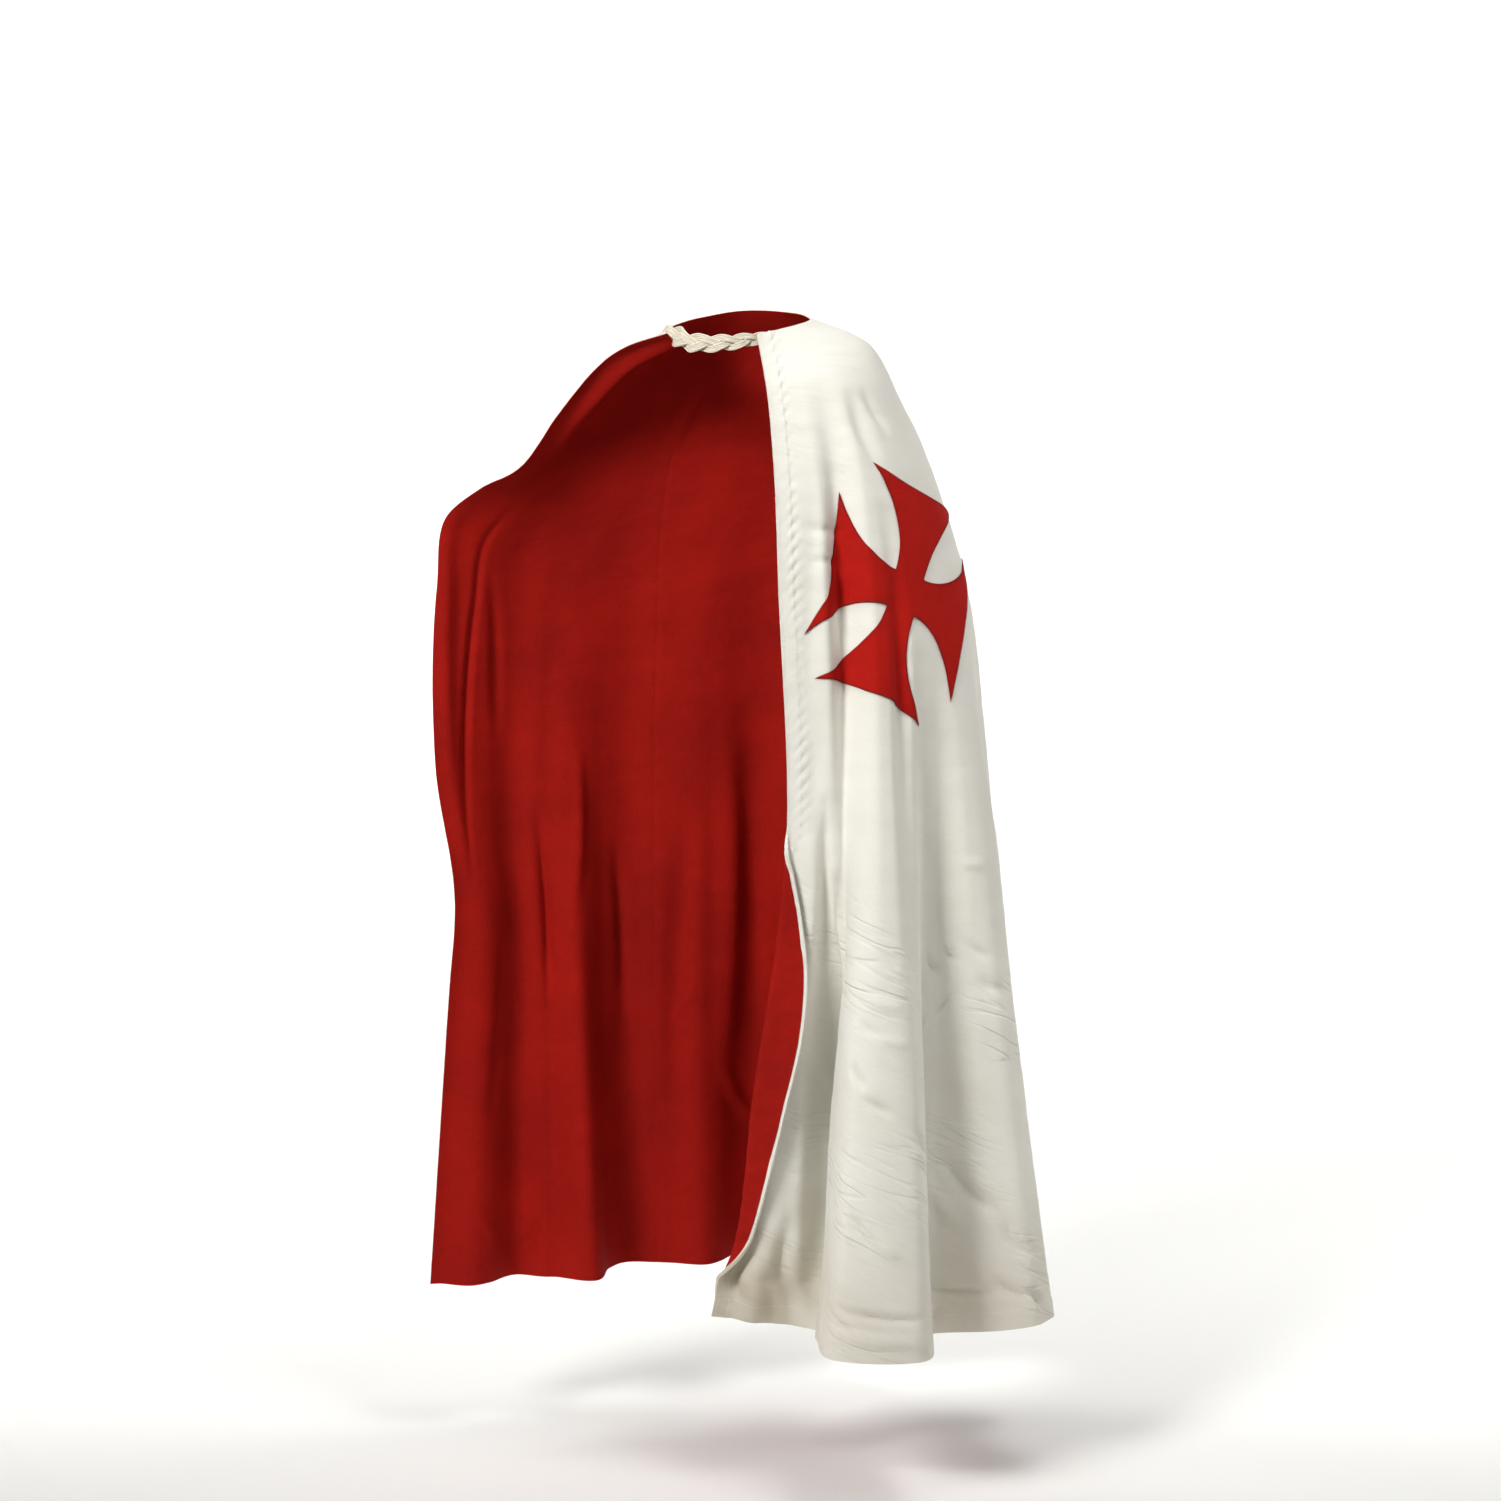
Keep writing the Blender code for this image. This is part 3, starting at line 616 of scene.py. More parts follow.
def pucker_push(beside, along, sizes):
    """Uneven puckers across a sewn line, given distances beside and along it."""
    drift = sum(ripple_at(ripple, along) for ripple in PUCKER_DRIFT)
    swell = 1.0 - PUCKER_SWELL.height + ripple_at(PUCKER_SWELL, along)
    turns = (along + PUCKER_LEAN * beside) / sizes.pucker_pitch
    wave = np.sin(2.0 * math.pi * turns + drift)
    return sizes.pucker * wave * swell * np.exp(-(beside / PUCKER_REACH) ** 2)


@lru_cache(maxsize=1)
def cloth():
    """The whole cloth, with its creases, on the fine grid."""
    sizes = settings().sizes
    drops = shared_out(ROWS)
    ways = shared_out(COLUMNS)
    points, outward = (np.array(part) for part in zip(*[section(drop, ways) for drop in drops]))
    across_steps = np.linalg.norm(np.diff(points, axis=1), axis=2)
    across = np.pad(np.cumsum(across_steps, axis=1), ((0, 0), (1, 0)))
    down_steps = np.linalg.norm(np.diff(points, axis=0), axis=2)
    down = np.pad(np.cumsum(down_steps, axis=0), ((1, 0), (0, 0)))
    from_edge = across[:, -1:] - across
    above_hem = down[-1:] - down
    push = sizes.uneven * uneven_push(across, down)
    for crease in CREASES:
        push += crease_push(crease, drops, ways, across, down)
    push += pucker_push(from_edge - sizes.band, down, sizes)
    push += HEM_PUCKERS * pucker_push(above_hem - sizes.hem, across, sizes)
    points = points + push[:, :, None] * outward
    outward = unit(np.cross(np.gradient(points, axis=1), np.gradient(points, axis=0)))
    return Cloth(drops, ways, points, outward, across, down, from_edge, above_hem)


def step_up(values, start, end):
    """A soft step from 0 at start to 1 at end."""
    share = np.clip((values - start) / (end - start), 0.0, 1.0)
    return share * share * (3.0 - 2.0 * share)


def seam_dips(width):
    """A ridge of height one along each seam between panels."""
    sheet = cloth()
    ridge = np.zeros(sheet.across.shape)
    for seam in (RIGHT_SEAM, LEFT_SEAM):
        column = column_at(sheet.ways, seam)
        beside = sheet.across - sheet.across[:, column:column + 1]
        ridge += np.exp(-(beside / width) ** 2)
    return ridge


@lru_cache(maxsize=1)
def shell_faces():
    """Distances of the shell's inner and outer faces from the cloth's middle."""
    sizes = settings().sizes
    sheet = cloth()
    inner = np.full(sheet.across.shape, sizes.clearance / 2)
    outer = inner + sizes.shell
    past_band = step_up(sheet.from_edge, sizes.band - STEP_WIDTH, sizes.band)
    past_hem = step_up(sheet.above_hem, sizes.hem - STEP_WIDTH, sizes.hem)
    doubled = np.maximum(1.0 - past_band, 1.0 - past_hem)
    outer = outer + sizes.turning * doubled - sizes.seam_dip * seam_dips(sizes.seam_width)
    rolled = 1.0 - step_up(sheet.from_edge, sizes.rim - RIM_STEP, sizes.rim)
    over_lining = sizes.clearance * 2 + sizes.lining + sizes.shell / 2
    return inner - over_lining * rolled, outer


def add_piece(name, mesh, slot, *nodes):
    """An object for a mesh that moves with the cloak and stands for the given solids."""
    piece = bpy.data.objects.new(name, mesh)
    bpy.context.scene.collection.objects.link(piece)
    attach(piece, BODY)
    if nodes:
        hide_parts(*nodes)
    return piece


def build_mesh(name, points, faces, flat, material):
    """A smooth mesh with its flat cloth coordinates as a UV map."""
    mesh = bpy.data.meshes.new(name)
    mesh.from_pydata(np.asarray(points).tolist(), [], faces)
    corners = np.empty(len(mesh.loops), dtype=np.int32)
    mesh.loops.foreach_get("vertex_index", corners)
    layer = mesh.uv_layers.new(name="Flat")
    layer.data.foreach_set("uv", np.asarray(flat, dtype=np.float32)[corners].ravel())
    mesh.materials.append(material)
    mesh.shade_smooth()
    mesh.set_sharp_from_angle(angle=SHARP_ANGLE)
    return mesh


def wall_faces(rows, columns):
    """Quads of a closed wall: an outer grid of points, then an inner one, with rims."""
    index = np.arange(rows * columns).reshape(rows, columns)
    corner, beside = index[:-1, :-1].ravel(), index[:-1, 1:].ravel()
    below, across = index[1:, :-1].ravel(), index[1:, 1:].ravel()
    count = rows * columns
    faces = np.stack([corner, beside, across, below], axis=1)
    inside = faces[:, ::-1] + count
    rims = []
    for rim in (index[0], index[:, -1], index[-1, ::-1], index[::-1, 0]):
        rims.append(np.stack([rim[1:], rim[:-1], rim[:-1] + count, rim[1:] + count], axis=1))
    return np.vstack([faces, inside, *rims]).tolist()


def add_wall(name, node, slot, panel, sheet, faces, material):
    """A closed wall of cloth over a panel of a sheet, between two faces' distances."""
    span = slice(column_at(sheet.ways, panel.first), column_at(sheet.ways, panel.last) + 1)
    inner, outer = (face[:, span, None] for face in faces)
    middle = sheet.points[:, span]
    outward = sheet.outward[:, span]
    flat = np.stack([sheet.across[:, span], sheet.above_hem[:, span]], axis=2).reshape(-1, 2)
    both = np.vstack([(middle + outward * outer).reshape(-1, 3),
                      (middle + outward * inner).reshape(-1, 3)])
    faces = wall_faces(*middle.shape[:2])
    mesh = build_mesh(name, both, faces, np.vstack([flat, flat]), material)
    piece = add_piece(name, mesh, slot, node)


def drawn_back(sheet, rim):
    """The cloth with its left edge drawn back by the rim that the shell rolls over it."""
    share = np.clip(1.0 - sheet.from_edge / (RIM_SPREAD * rim), 0.0, 1.0)
    places = sheet.across - rim * share
    points, outward = np.empty_like(sheet.points), np.empty_like(sheet.outward)
    for row, (at, across) in enumerate(zip(places, sheet.across)):
        for axis in range(3):
            points[row, :, axis] = np.interp(at, across, sheet.points[row, :, axis])
            outward[row, :, axis] = np.interp(at, across, sheet.outward[row, :, axis])
    return sheet._replace(points=points, outward=unit(outward))


def add_node(tree, kind, inputs=None, **options):
    """A node with its options, whose inputs are set to values or linked to sockets."""
    node = tree.nodes.new(kind)
    for name, value in options.items():
        setattr(node, name, value)
    for name, value in (inputs or {}).items():
        if isinstance(value, bpy.types.NodeSocket):
            tree.links.new(value, node.inputs[name])
        else:
            node.inputs[name].default_value = value
    return node


def new_material(name, **values):
    """A material with a Principled shader whose sockets have the given values."""
    material = bpy.data.materials.new(name)
    material.use_nodes = True
    tree = material.node_tree
    shader = tree.nodes["Principled BSDF"]
    for socket, value in values.items():
        shader.inputs[socket.replace("_", " ")].default_value = value
    return material, tree, shader


def pressed_wrinkles(tree, flat, height, normal):
    """Fine slanted wrinkles, sharp at their lines, that gather in patches toward the hem."""
    width, length, depth = 0.030, 0.090, 0.0011
    slant = math.radians(-56.0)
    smooth_height, wrinkled_height = 0.90, 0.50
    patches_to_a_metre = 6.0
    slanted = add_node(tree, "ShaderNodeMapping", {
        "Vector": flat, "Rotation": (0.0, 0.0, slant), "Scale": (width, length, 1.0)},
        vector_type="TEXTURE")
    field = add_node(tree, "ShaderNodeTexNoise", {
        "Vector": slanted.outputs["Vector"], "Scale": 1.0, "Detail": 1.0, "Distortion": 0.5})
    apart = add_node(tree, "ShaderNodeMath", {0: field.outputs["Fac"], 1: 0.5}, operation="SUBTRACT")
    line = add_node(tree, "ShaderNodeMath", {0: apart.outputs["Value"]}, operation="ABSOLUTE")
    trough = add_node(tree, "ShaderNodeMapRange", {
        "Value": line.outputs["Value"], "From Min": 0.0, "From Max": 0.09},
        interpolation_type="SMOOTHERSTEP")
    patches = add_node(tree, "ShaderNodeTexNoise", {
        "Vector": flat, "Scale": patches_to_a_metre, "Detail": 1.0})
    gathered = add_node(tree, "ShaderNodeMapRange", {
        "Value": patches.outputs["Fac"], "From Min": 0.50, "From Max": 0.66})
    low = add_node(tree, "ShaderNodeMapRange", {
        "Value": height, "From Min": smooth_height, "From Max": wrinkled_height})
    share = add_node(tree, "ShaderNodeMath", {
        0: gathered.outputs["Result"], 1: low.outputs["Result"]}, operation="MULTIPLY")
    return add_node(tree, "ShaderNodeBump", {
        "Height": trough.outputs["Result"], "Strength": share.outputs["Value"],
        "Distance": depth, "Normal": normal}).outputs["Normal"]


def darken_hem_and_paint_corner_shade(tree, flat, height, undarkened_tint, hem_and_corner_darkening):
    """Darkens the cloth toward the hem with a faint uneven tint, and paints shade on the front
    corner.
    """
    highest, hem_darkening_share = 0.26, 0.34
    front_corner = (0.0, -0.15, -1.36)
    farthest, nearest, painted_corner_shade_share = 0.17, 0.03, 0.75
    patches_to_a_metre = 11.0
    # Darker toward the hem over its lowest quarter metre
    low = add_node(tree, "ShaderNodeMapRange", {
        "Value": height, "From Min": highest, "From Max": 0.0, "To Max": hem_darkening_share},
        interpolation_type="SMOOTHSTEP")
    # Painted shade: the front corner, turned away from the key light, is darkened by nearness to it
    place = add_node(tree, "ShaderNodeTexCoord").outputs["Object"]
    away = add_node(tree, "ShaderNodeVectorMath", {0: place, 1: front_corner}, operation="DISTANCE")
    near = add_node(tree, "ShaderNodeMapRange", {
        "Value": away.outputs["Value"], "From Min": farthest, "From Max": nearest,
        "To Max": painted_corner_shade_share}, interpolation_type="SMOOTHSTEP")
    most = add_node(tree, "ShaderNodeMath", {
        0: low.outputs["Result"], 1: near.outputs["Result"]}, operation="MAXIMUM")
    patches = add_node(tree, "ShaderNodeTexNoise", {
        "Vector": flat, "Scale": patches_to_a_metre, "Detail": 3.0})
    uneven = add_node(tree, "ShaderNodeMapRange", {
        "Value": patches.outputs["Fac"], "From Min": 0.30, "From Max": 0.60, "To Min": 0.6})
    share = add_node(tree, "ShaderNodeMath", {
        0: most.outputs["Value"], 1: uneven.outputs["Result"]}, operation="MULTIPLY")
    return add_node(tree, "ShaderNodeMix", {
        "Factor": share.outputs["Value"], MIX_FIRST: undarkened_tint, MIX_SECOND: hem_and_corner_darkening},
        data_type="RGBA").outputs[MIXED]


def woven_cloth(name, color, shade, twill, yarn, roughness, gloss, hem_and_corner_darkening=None):
    """Cloth woven in twill: fine slanted ribs of thread, with slubs where a yarn thickens.

    The eye gets a matt surface, faint streaks along both threads and no gloss. The ribs are
    drawn about twice as coarse as real ones, so that they show at all. Cloth that is given a
    darkening colour is also wrinkled and darker toward its hem, with painted shade at its front
    corner.
    """
    clouds_to_a_metre, crumples_to_a_metre = 7.0, 38.0
    weave_depth, crumple_depth = 0.0003, 0.0022
    wave_period = math.pi / 10.0
    material, tree, shader = new_material(
        name, Roughness=roughness, Specular_IOR_Level=gloss, Sheen_Weight=0.06,
        Sheen_Roughness=0.5, Sheen_Tint=color, IOR=1.45)
    flat = add_node(tree, "ShaderNodeUVMap", uv_map="Flat").outputs["UV"]
    slanted = add_node(tree, "ShaderNodeMapping", {
        "Vector": flat, "Rotation": (0.0, 0.0, math.radians(58.0))})
    ribs = add_node(tree, "ShaderNodeTexWave", {
        "Vector": slanted.outputs["Vector"], "Scale": wave_period / twill, "Distortion": 1.2,
        "Detail": 1.0, "Detail Scale": 2.0}, wave_type="BANDS", bands_direction="X")
    yarns = []
    for drawn_out in ((1.0 / yarn, 0.06 / yarn, 1.0), (0.05 / yarn, 1.0 / yarn, 1.0)):
        threads = add_node(tree, "ShaderNodeMapping", {"Vector": flat, "Scale": drawn_out})
        yarns.append(add_node(tree, "ShaderNodeTexNoise", {
            "Vector": threads.outputs["Vector"], "Scale": 1.0, "Detail": 2.0, "Roughness": 0.6}))
    slubs = add_node(tree, "ShaderNodeMath", {
        0: yarns[0].outputs["Fac"], 1: yarns[1].outputs["Fac"]}, operation="ADD").outputs["Value"]
    clouds = add_node(tree, "ShaderNodeTexNoise", {
        "Vector": flat, "Scale": clouds_to_a_metre, "Detail": 3.0, "Roughness": 0.55})
    tone = add_node(tree, "ShaderNodeMath", {
        0: slubs, 1: 0.5, 2: clouds.outputs["Fac"]}, operation="MULTIPLY_ADD")
    blend = add_node(tree, "ShaderNodeMapRange", {
        "Value": tone.outputs["Value"], "From Min": 0.72, "From Max": 1.28})
    tint = add_node(tree, "ShaderNodeMix", {
        "Factor": blend.outputs["Result"], MIX_FIRST: shade, MIX_SECOND: color},
        data_type="RGBA").outputs[MIXED]
    weave = add_node(tree, "ShaderNodeMath", {
        0: slubs, 1: 0.8, 2: ribs.outputs["Fac"]}, operation="MULTIPLY_ADD")
    woven = add_node(tree, "ShaderNodeBump", {
        "Height": weave.outputs["Value"], "Strength": 0.5, "Distance": weave_depth})
    crumple = add_node(tree, "ShaderNodeTexNoise", {
        "Vector": flat, "Scale": crumples_to_a_metre, "Detail": 3.0, "Roughness": 0.5})
    normal = add_node(tree, "ShaderNodeBump", {
        "Height": crumple.outputs["Fac"], "Strength": 0.5, "Distance": crumple_depth,
        "Normal": woven.outputs["Normal"]}).outputs["Normal"]
    if hem_and_corner_darkening:
        height = add_node(tree, "ShaderNodeSeparateXYZ", {"Vector": flat}).outputs["Y"]
        tint = darken_hem_and_paint_corner_shade(tree, flat, height, tint, hem_and_corner_darkening)
        normal = pressed_wrinkles(tree, flat, height, normal)
    tree.links.new(tint, shader.inputs["Base Color"])
    tree.links.new(normal, shader.inputs["Normal"])
    return material


@lru_cache(maxsize=1)
def shell_cloth():
    """White cotton drill: a stout, dull twill that scatters light softly and shows slubs."""
    colors = settings().colors
    # The drill is darker toward its hem and carries painted shade at its front corner
    return woven_cloth("White cotton drill", colors.shell, colors.shell_shade,
                       twill=0.0023, yarn=0.0016, roughness=0.92, gloss=0.25, hem_and_corner_darkening=colors.darker_hem_and_painted_corner_shade)


@lru_cache(maxsize=1)
def lining_cloth():
    """Red cotton twill: lighter and smoother than the drill, deep red in its hollows."""
    colors = settings().colors
    return woven_cloth("Red cotton lining twill", colors.lining, colors.lining_shade,
                       twill=0.0018, yarn=0.0013, roughness=0.80, gloss=0.10)


def cross_cloth():
    """Red cotton applique cloth: the lining's weave in a brighter red, pressed flat."""
    colors = settings().colors
    return woven_cloth("Red cotton applique cloth", colors.cross, colors.cross_shade,
                       twill=0.0018, yarn=0.0013, roughness=0.85, gloss=0.10)


def spun_thread(name, color, roughness):
    """Spun cotton thread: dull, with a fine wrap of fibres that breaks up its surface."""
    fibre, fibre_depth = 0.0004, 0.0002
    material, tree, shader = new_material(name, Roughness=roughness, Base_Color=color, IOR=1.45)
    place = add_node(tree, "ShaderNodeTexCoord").outputs["Object"]
    fibres = add_node(tree, "ShaderNodeTexNoise", {
        "Vector": place, "Scale": 1.0 / fibre, "Detail": 2.0})
    bump = add_node(tree, "ShaderNodeBump", {
        "Height": fibres.outputs["Fac"], "Strength": 0.4, "Distance": fibre_depth})
    tree.links.new(bump.outputs["Normal"], shader.inputs["Normal"])
    return material


def cord_cotton():
    """Cream cotton cord: soft plied yarn, pale on its plies, with painted shade in the grooves."""
    fibre, fibre_depth = 0.0006, 0.0003
    colors = settings().colors
    material, tree, shader = new_material("Cream cotton cord", Roughness=0.85, IOR=1.45,
                                          Sheen_Weight=0.1, Sheen_Roughness=0.5)
    # Painted shade: each point's height on its ply darkens the grooves between plies
    depth = add_node(tree, "ShaderNodeAttribute", attribute_name="ply").outputs["Fac"]
    place = add_node(tree, "ShaderNodeTexCoord").outputs["Object"]
    fibres = add_node(tree, "ShaderNodeTexNoise", {
        "Vector": place, "Scale": 1.0 / fibre, "Detail": 3.0})
    tone = add_node(tree, "ShaderNodeMath", {
        0: fibres.outputs["Fac"], 1: 0.35, 2: depth}, operation="MULTIPLY_ADD")
    tint = add_node(tree, "ShaderNodeMix", {
        "Factor": tone.outputs["Value"], MIX_FIRST: colors.painted_cord_groove_shade, MIX_SECOND: colors.cord},
        data_type="RGBA").outputs[MIXED]
    bump = add_node(tree, "ShaderNodeBump", {
        "Height": fibres.outputs["Fac"], "Strength": 0.5, "Distance": fibre_depth})
    tree.links.new(tint, shader.inputs["Base Color"])
    tree.links.new(bump.outputs["Normal"], shader.inputs["Normal"])
    return material


class CLOAK_OT_shell(bpy.types.Operator):
    """Make the outer cloth of the three panels"""
    bl_idname = "cloak.shell"
    bl_label = "Outer Cloth"

    def execute(self, context):
        for panel in PANELS:
            add_wall("outer_cloth_" + panel.name, "shell_" + panel.name, "shell_cloth", panel,
                     cloth(), shell_faces(), shell_cloth())
        return {"FINISHED"}


class CLOAK_OT_lining(bpy.types.Operator):
    """Make the lining of the three panels"""
    bl_idname = "cloak.lining"
    bl_label = "Lining"

    def execute(self, context):
        sizes = settings().sizes
        sheet = drawn_back(cloth(), sizes.rim + sizes.clearance)
        near = np.full(sheet.across.shape, -sizes.clearance / 2)
        far = near - sizes.lining + sizes.seam_dip * seam_dips(sizes.seam_width)
        for panel in PANELS:
            node = "lining_" + panel.name
            add_wall(node + "_cloth", node, "lining_cloth", panel, sheet, (far, near),
                     lining_cloth())
        return {"FINISHED"}


def on_shell(flat, lift):
    """Points over the shell at flat places from the middle of the cross, with directions.

    The first flat number counts back from the left edge and the second one counts up.
    """
    sheet = cloth()
    _, outer = shell_faces()
    middle = column_at(sheet.ways, CROSS_WAY)
    columns = np.arange(len(sheet.ways))
    centre = np.interp(CROSS_DROP, sheet.drops, sheet.down[:, middle])
    rows = np.interp(centre - flat[:, 1], sheet.down[:, middle], np.arange(len(sheet.drops)))
    sideways = sheet.across - sheet.across[:, middle:middle + 1]
    points, outward = np.zeros((2, len(flat), 3))
    for spot, (row, (back, _)) in enumerate(zip(rows, flat)):
        upper = min(int(row), len(sheet.drops) - 2)
        for near, weight in ((upper, 1.0 - (row - upper)), (upper + 1, row - upper)):
            place = np.interp(-back, sideways[near], columns)
            left = min(int(place), len(columns) - 2)
            for column, share in ((left, 1.0 - (place - left)), (left + 1, place - left)):
                part = weight * share
                height = outer[near, column] + lift[spot]
                points[spot] += part * (sheet.points[near, column]
                                        + height * sheet.outward[near, column])
                outward[spot] += part * sheet.outward[near, column]
    return points, unit(outward)


def arm_half_width(out):
    """Half of an arm's width at a share of its length."""
    return CROSS_WAIST + (CROSS_SPREAD - CROSS_WAIST) * out ** CROSS_FLARE


def arm_place(reach, out, side):
    """Flat place in an arm along +X: out is the share of its length, side of its half width."""
    hollow = CROSS_END_HOLLOW * (1.0 - side ** 2) * out ** CROSS_HOLLOW_POWER
    along = CROSS_WAIST + (reach - CROSS_WAIST) * out - hollow
    return np.stack([along, arm_half_width(out) * side], axis=-1)


def arm_turn(arm):
    """The matrix that turns flat places of the first arm to another arm."""
    angle = arm * 2.0 * math.pi / CROSS_ARMS + CROSS_TILT
    return np.array([(math.cos(angle), math.sin(angle)), (-math.sin(angle), math.cos(angle))])


def arm_reach(arm):
    """The length of an arm: side arms and upright ones in turn."""
    return CROSS_REACH if arm % 2 else CROSS_SIDE_REACH


def cross_grid():
    """Flat places of the cross, its quads, and each place's share of the full thickness."""
    outs = np.append(np.linspace(0.0, CROSS_OUT_RIM, CROSS_OUT_POINTS), 1.0)
    inner = np.linspace(-CROSS_SIDE_RIM, CROSS_SIDE_RIM, CROSS_SIDE_POINTS)
    sides = np.concatenate([[-1.0], inner, [1.0]])
    spots = {}
    places, shares, faces = [], [], []

    def index(place, share):
        key = tuple(np.round(place, MERGE_DIGITS))
        if key not in spots:
            spots[key] = len(places)
            places.append(place)
            shares.append(share)
        shares[spots[key]] = max(shares[spots[key]], share)
        return spots[key]

    patches = []
    for arm in range(CROSS_ARMS):
        out, side = np.meshgrid(outs, sides, indexing="ij")
        flat = arm_place(arm_reach(arm), out, side) @ arm_turn(arm)
        full = np.where((np.abs(side) == 1.0) | (out == 1.0), CROSS_THIN_EDGE, 1.0)
        patches.append((flat, full))
    steps = CROSS_WAIST * sides
    middle = np.stack(np.meshgrid(steps, steps, indexing="ij"), axis=-1) @ arm_turn(0)
    patches.append((middle, np.ones(middle.shape[:2])))
    for flat, full in patches:
        names = [[index(p, s) for p, s in zip(*row)] for row in zip(flat, full)]
        for row, following in zip(names, names[1:]):
            faces += zip(row, following, following[1:], row[1:])
    return np.array(places), faces, np.array(shares)


def cross_border(inset):
    """Flat places round the cross, a little inside its border."""
    outs = np.linspace(0.0, 1.0, CROSS_BORDER_POINTS)
    sides = np.linspace(1.0, -1.0, CROSS_BORDER_POINTS)
    narrowed = 1.0 - inset / arm_half_width(outs)
    border = []
    for arm in range(CROSS_ARMS):
        reach = arm_reach(arm)
        last = 1.0 - inset / reach
        near = arm_place(reach, outs * last, -narrowed)
        far = arm_place(reach, outs[::-1] * last, narrowed[::-1])
        end = arm_place(reach, np.full(CROSS_BORDER_POINTS, last),
                        -sides * (1.0 - inset / CROSS_SPREAD))
        border.append(np.vstack([near, end[1:-1], far]) @ arm_turn(arm))
    return np.vstack(border)


class CLOAK_OT_cross(bpy.types.Operator):
    """Make the cross that is sewn on the left front"""
    bl_idname = "cloak.cross"
    bl_label = "Cross"

    def execute(self, context):
        sizes = settings().sizes
        flat, faces, shares = cross_grid()
        lower, _ = on_shell(flat, np.full(len(flat), sizes.cross_lift))
        upper, _ = on_shell(flat, sizes.cross_lift + sizes.cross * shares)
        count = len(flat)
        solid = [tuple(corner + count for corner in face) for face in faces]
        solid += [face[::-1] for face in faces]
        edges = {(a, b) for face in faces for a, b in zip(face, face[1:] + face[:1])}
        solid += [(a, b, b + count, a + count) for a, b in sorted(edges) if (b, a) not in edges]
        mesh = build_mesh("sewn_cross", np.vstack([lower, upper]), solid,
                          np.vstack([flat, flat]), cross_cloth())
        piece = add_piece("sewn_cross", mesh, "cross_cloth", "cross_applique")
        return {"FINISHED"}


def stitch_tree(material):
    """Geometry nodes that lay stitches along a path that carries outward directions."""
    tree = bpy.data.node_groups.new("Stitches along a path", "GeometryNodeTree")
    face = tree.interface
    face.new_socket("Geometry", in_out="INPUT", socket_type="NodeSocketGeometry")
    for name in ("Pitch", "Length", "Width", "Turn"):
        face.new_socket(name, in_out="INPUT", socket_type="NodeSocketFloat")
    face.new_socket("Geometry", in_out="OUTPUT", socket_type="NodeSocketGeometry")
    given = add_node(tree, "NodeGroupInput").outputs
    path = add_node(tree, "GeometryNodeMeshToCurve", {"Mesh": given["Geometry"]})
    spots = add_node(tree, "GeometryNodeResampleCurve", {
        "Curve": path.outputs["Curve"], "Length": given["Pitch"]}, mode="LENGTH")
    ball = add_node(tree, "GeometryNodeMeshUVSphere", {"Segments": 6, "Rings": 4, "Radius": 0.5})
    shape = add_node(tree, "ShaderNodeCombineXYZ", {
        "X": given["Length"], "Y": given["Width"], "Z": given["Width"]})
    stitch = add_node(tree, "GeometryNodeTransform", {
        "Geometry": ball.outputs["Mesh"], "Scale": shape.outputs["Vector"]})
    tangent = add_node(tree, "GeometryNodeInputTangent")
    outward = add_node(tree, "GeometryNodeInputNamedAttribute", {"Name": "outward"},
                       data_type="FLOAT_VECTOR")
    along = add_node(tree, "FunctionNodeAlignRotationToVector", {
        "Vector": tangent.outputs["Tangent"]}, axis="X")
    upright = add_node(tree, "FunctionNodeAlignRotationToVector", {
        "Rotation": along.outputs["Rotation"], "Vector": outward.outputs["Attribute"]},
        axis="Z", pivot_axis="X")
    skew = add_node(tree, "FunctionNodeRandomValue", {
        SKEW_LEAST: -STITCH_SKEW, SKEW_MOST: STITCH_SKEW, "Seed": 7}, data_type="FLOAT")
    angle = add_node(tree, "ShaderNodeMath", {
        0: given["Turn"], 1: skew.outputs[SKEWED]}, operation="ADD")
    spin = add_node(tree, "FunctionNodeAxisAngleToRotation", {
        "Axis": (0.0, 0.0, 1.0), "Angle": angle.outputs["Value"]})
    turned = add_node(tree, "FunctionNodeRotateRotation", {
        "Rotation": upright.outputs["Rotation"], "Rotate By": spin.outputs["Rotation"]},
        rotation_space="LOCAL")
    sewn = add_node(tree, "GeometryNodeInstanceOnPoints", {
        "Points": spots.outputs["Curve"], "Instance": stitch.outputs["Geometry"],
        "Rotation": turned.outputs["Rotation"]})
    real = add_node(tree, "GeometryNodeRealizeInstances", {"Geometry": sewn.outputs["Instances"]})
    soft = add_node(tree, "GeometryNodeSetShadeSmooth", {"Geometry": real.outputs["Geometry"]})
    painted = add_node(tree, "GeometryNodeSetMaterial", {
        "Geometry": soft.outputs["Geometry"], "Material": material})
    add_node(tree, "NodeGroupOutput", {"Geometry": painted.outputs["Geometry"]})
    return tree


